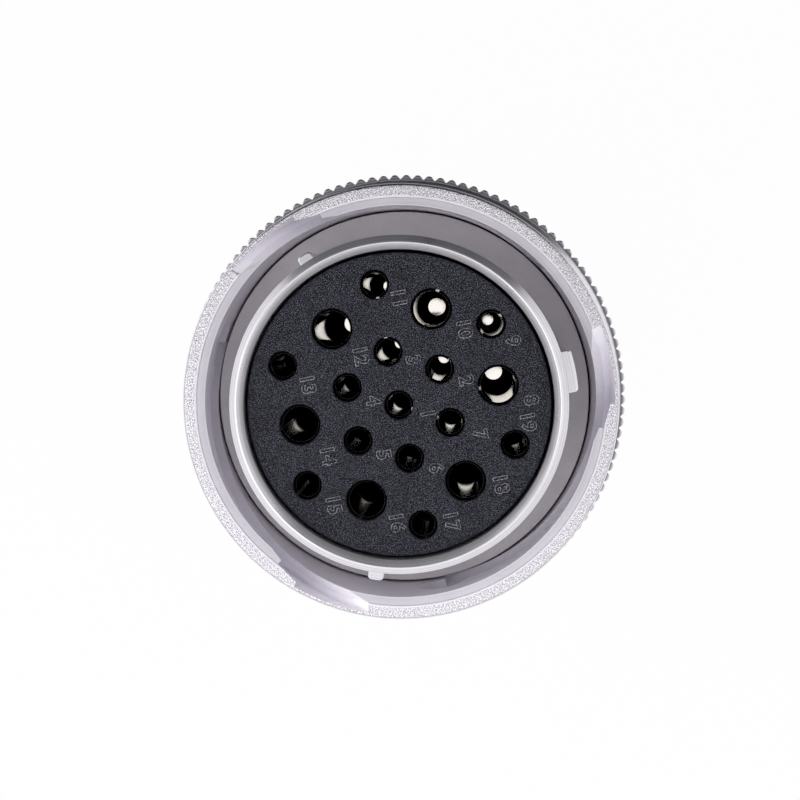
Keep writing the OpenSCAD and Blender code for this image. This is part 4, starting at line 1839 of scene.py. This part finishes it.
@dataclass
class Studio:
    """Camera, floor and light."""

    face_z: float
    image_right: float = 18.6
    lean: float = 4.28
    lean_towards: float = 76.6
    distance: float = 145.0
    lens: float = 76.4
    rise: float = 0.26
    floor_size: float = 3000.0
    floor_gap: float = 0.05
    floor_colour: Colour = (0.82, 0.82, 0.82)
    floor_glow: float = 0.97
    felt_colour: Colour = (0.02, 0.02, 0.022)
    white: Colour = (1.0, 1.0, 1.0)
    even_light: float = 0.95
    lamps: tuple[Lamp, ...] = (Lamp("key_lamp", 235.0, 45.0, 0.3), Lamp("fill_lamp", 200.0, 40.0, 0.2))
    flags: tuple[Flag, ...] = (
        Flag("side_flag", 107.0, (70.0, 1.0), (70.0, 130.0), 150.0, soft=True),
        Flag("top_flag", 108.6, (110.0, 170.0), (18.0, 238.0), 95.0),
    )

    def camera(self) -> None:
        """Sets the camera almost straight above the mating face."""
        face = Vector((0, 0, self.face_z))
        lean = math.radians(self.lean)
        sight = level(self.lean_towards) * math.sin(lean) + Vector((0, 0, math.cos(lean)))
        spot = face + sight * self.distance
        top = level(self.image_right + 90)
        back = (spot - face - top * self.rise).normalized()
        up = (top - back * top.dot(back)).normalized()
        data = bpy.data.cameras.new("camera")
        data.lens = self.lens
        data.clip_start = 0.001
        data.clip_end = 100.0
        camera = held(data, "camera")
        turn = Matrix((up.cross(back), up, back)).transposed().to_4x4()
        camera.matrix_world = Matrix.Translation(spot * MM) @ turn
        bpy.context.scene.camera = camera

    @staticmethod
    def seen(graph: Graph) -> Value:
        """Tells the rays that show the backdrop from those that carry light.

        Args:
            graph: The nodes of the backdrop's material or of the world.

        Returns:
            1 for the rays that show it, 0 for the others.
        """
        rays = graph.node("ShaderNodeLightPath").outputs
        names = ("Is Camera Ray", "Is Glossy Ray", "Is Transmission Ray")
        camera, glossy, clear = (Value(graph, rays[name]) for name in names)
        return camera.largest(glossy).largest(clear)

    @staticmethod
    def sheet(name: str, corners: Sequence[Vector], material: bpy.types.Material) -> bpy.types.Object:
        """Adds a flat sheet.

        Args:
            name: Name of the sheet.
            corners: Its four corners, in millimetres.
            material: Its material.

        Returns:
            The sheet.
        """
        mesh = bpy.data.meshes.new(name)
        mesh.from_pydata([corner * MM for corner in corners], [], [(0, 1, 2, 3)])
        mesh.materials.append(material)
        return held(mesh, name)

    def floor(self) -> None:
        """Adds a white floor that keeps a soft shadow."""
        half = self.floor_size / 2
        corners = [
            Vector((x * half, y * half, -self.floor_gap)) for x, y in ((-1, -1), (1, -1), (1, 1), (-1, 1))
        ]
        material, graph = empty_material("white_floor")
        paper = graph.diffuse(self.floor_colour)
        glow = graph.node("ShaderNodeEmission", inputs={"Color": (*self.white, 1.0), "Strength": 1.0})
        mix = {0: self.seen(graph) * self.floor_glow, 1: paper, 2: glow.outputs[0]}
        graph.end(graph.node("ShaderNodeMixShader", inputs=mix).outputs[0])
        floor = self.sheet("floor", corners, material)

    def world(self) -> None:
        """Makes the world white where the backdrop shows, and a plain even light elsewhere."""
        world = bpy.data.worlds.new("studio")
        world.use_nodes = True
        bpy.context.scene.world = world
        graph = Graph(world.node_tree)
        strength = self.seen(graph) * (1 - self.even_light) + self.even_light
        inputs = {"Color": (*self.white, 1.0), "Strength": strength}
        graph.end(graph.node("ShaderNodeBackground", inputs=inputs).outputs[0], "ShaderNodeOutputWorld")

    def light(self, lamp: Lamp) -> None:
        """Adds a lamp.

        Args:
            lamp: Place, size and power of the lamp.
        """
        tilt = math.radians(lamp.height)
        sight = level(lamp.bearing) * math.cos(tilt) + Vector((0, 0, math.sin(tilt)))
        data = bpy.data.lights.new(lamp.name, "AREA")
        data.shape = "SQUARE"
        data.size = lamp.size * MM
        data.energy = lamp.power
        spot = Vector((0, 0, self.face_z)) + sight * lamp.reach
        turn = sight.to_track_quat("Z", "Y").to_matrix().to_4x4()
        held(data, lamp.name).matrix_world = Matrix.Translation(spot * MM) @ turn

    def hang(self, flag: Flag) -> None:
        """Adds a dark panel that the camera doesn't see.

        Args:
            flag: Place and size of the panel.
        """
        out = level(flag.bearing)
        side = level(flag.bearing + 90) * flag.width / 2
        corners = [
            out * reach + side * way + Vector((0, 0, z))
            for (reach, z), ways in ((flag.low, (-1, 1)), (flag.high, (1, -1)))
            for way in ways
        ]
        material, graph = empty_material(flag.name)
        graph.end(graph.diffuse(self.felt_colour))
        panel = self.sheet(flag.name, corners, material)
        panel.visible_camera = False
        panel.visible_shadow = False
        panel.visible_diffuse = flag.soft

    def build(self) -> None:
        """Sets up the whole studio."""
        bpy.context.scene.view_settings.view_transform = "Standard"
        self.camera()
        self.floor()
        self.world()
        for lamp in self.lamps:
            self.light(lamp)
        for flag in self.flags:
            self.hang(flag)


def main() -> None:
    """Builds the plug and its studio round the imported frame."""
    logging.basicConfig(level=logging.INFO, format="%(name)s %(message)s")
    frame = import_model()
    patterns = RingOfCopies()
    ring, shell, insert = CouplingRing(), PlugShell(), Insert()

    cast = CastMetal(
        "cast_metal",
        (0.885, 0.86, 0.92),
        0.3,
        face_z=ring.face_z,
        gap_z=low_z("face_gasket"),
        bore_r=ring.bore_r,
        mouth=ring.mouth,
        groove_r=ring.groove_r,
        knurl_root_r=ring.knurl_root_r,
        knurl_top_r=ring.knurl_root_r + ring.knurl_h,
    )
    nickel = TurnedMetal(
        "nickel_plate",
        (0.87, 0.85, 0.9),
        0.3,
        mark_scale=5.0,
        mark_shade=0.6,
        pale_r=shell.rim_r,
        dirt_z=high_z("shell_nose") - shell.rim_chamfer,
    )
    satin = TurnedMetal("satin_backshell", (0.56, 0.557, 0.575), 0.34, mark_depth=0.004)
    steel = TurnedMetal("spring_steel", (0.55, 0.55, 0.57), 0.3)
    gasket = Rubber("grey_gasket", (0.83, 0.79, 0.815), 0.6, crevice_r=shell.nose_r)
    seal = Rubber("black_rubber", (0.02, 0.02, 0.022), 0.7)
    plastic = SparkedPlastic(
        "black_plastic",
        (0.0108, 0.011, 0.0152),
        0.42,
        face_z=insert.face_z,
        number_rise=insert.numeral_rise,
    )
    plating = ContactPlating(
        "contact_plating",
        (1.0, 0.955, 0.9),
        0.07,
        bore_end_z=insert.face_z - insert.bore_depth,
        tip_z=insert.face_z - insert.tip_recess,
    )

    Studio(face_z=ring.face_z).build()
    ring.build(patterns, cast)
    shell.build(nickel, gasket)
    insert.build(patterns, plastic, plating)
    CableEnd().build(satin, seal, steel)
    inside = InnerPieces()
    inside.spring(steel)
    inside.dress(frame["nodes"], {"plastic": plastic, "metal": nickel, "steel": steel, "rubber": seal})


if __name__ == "__main__":
    main()
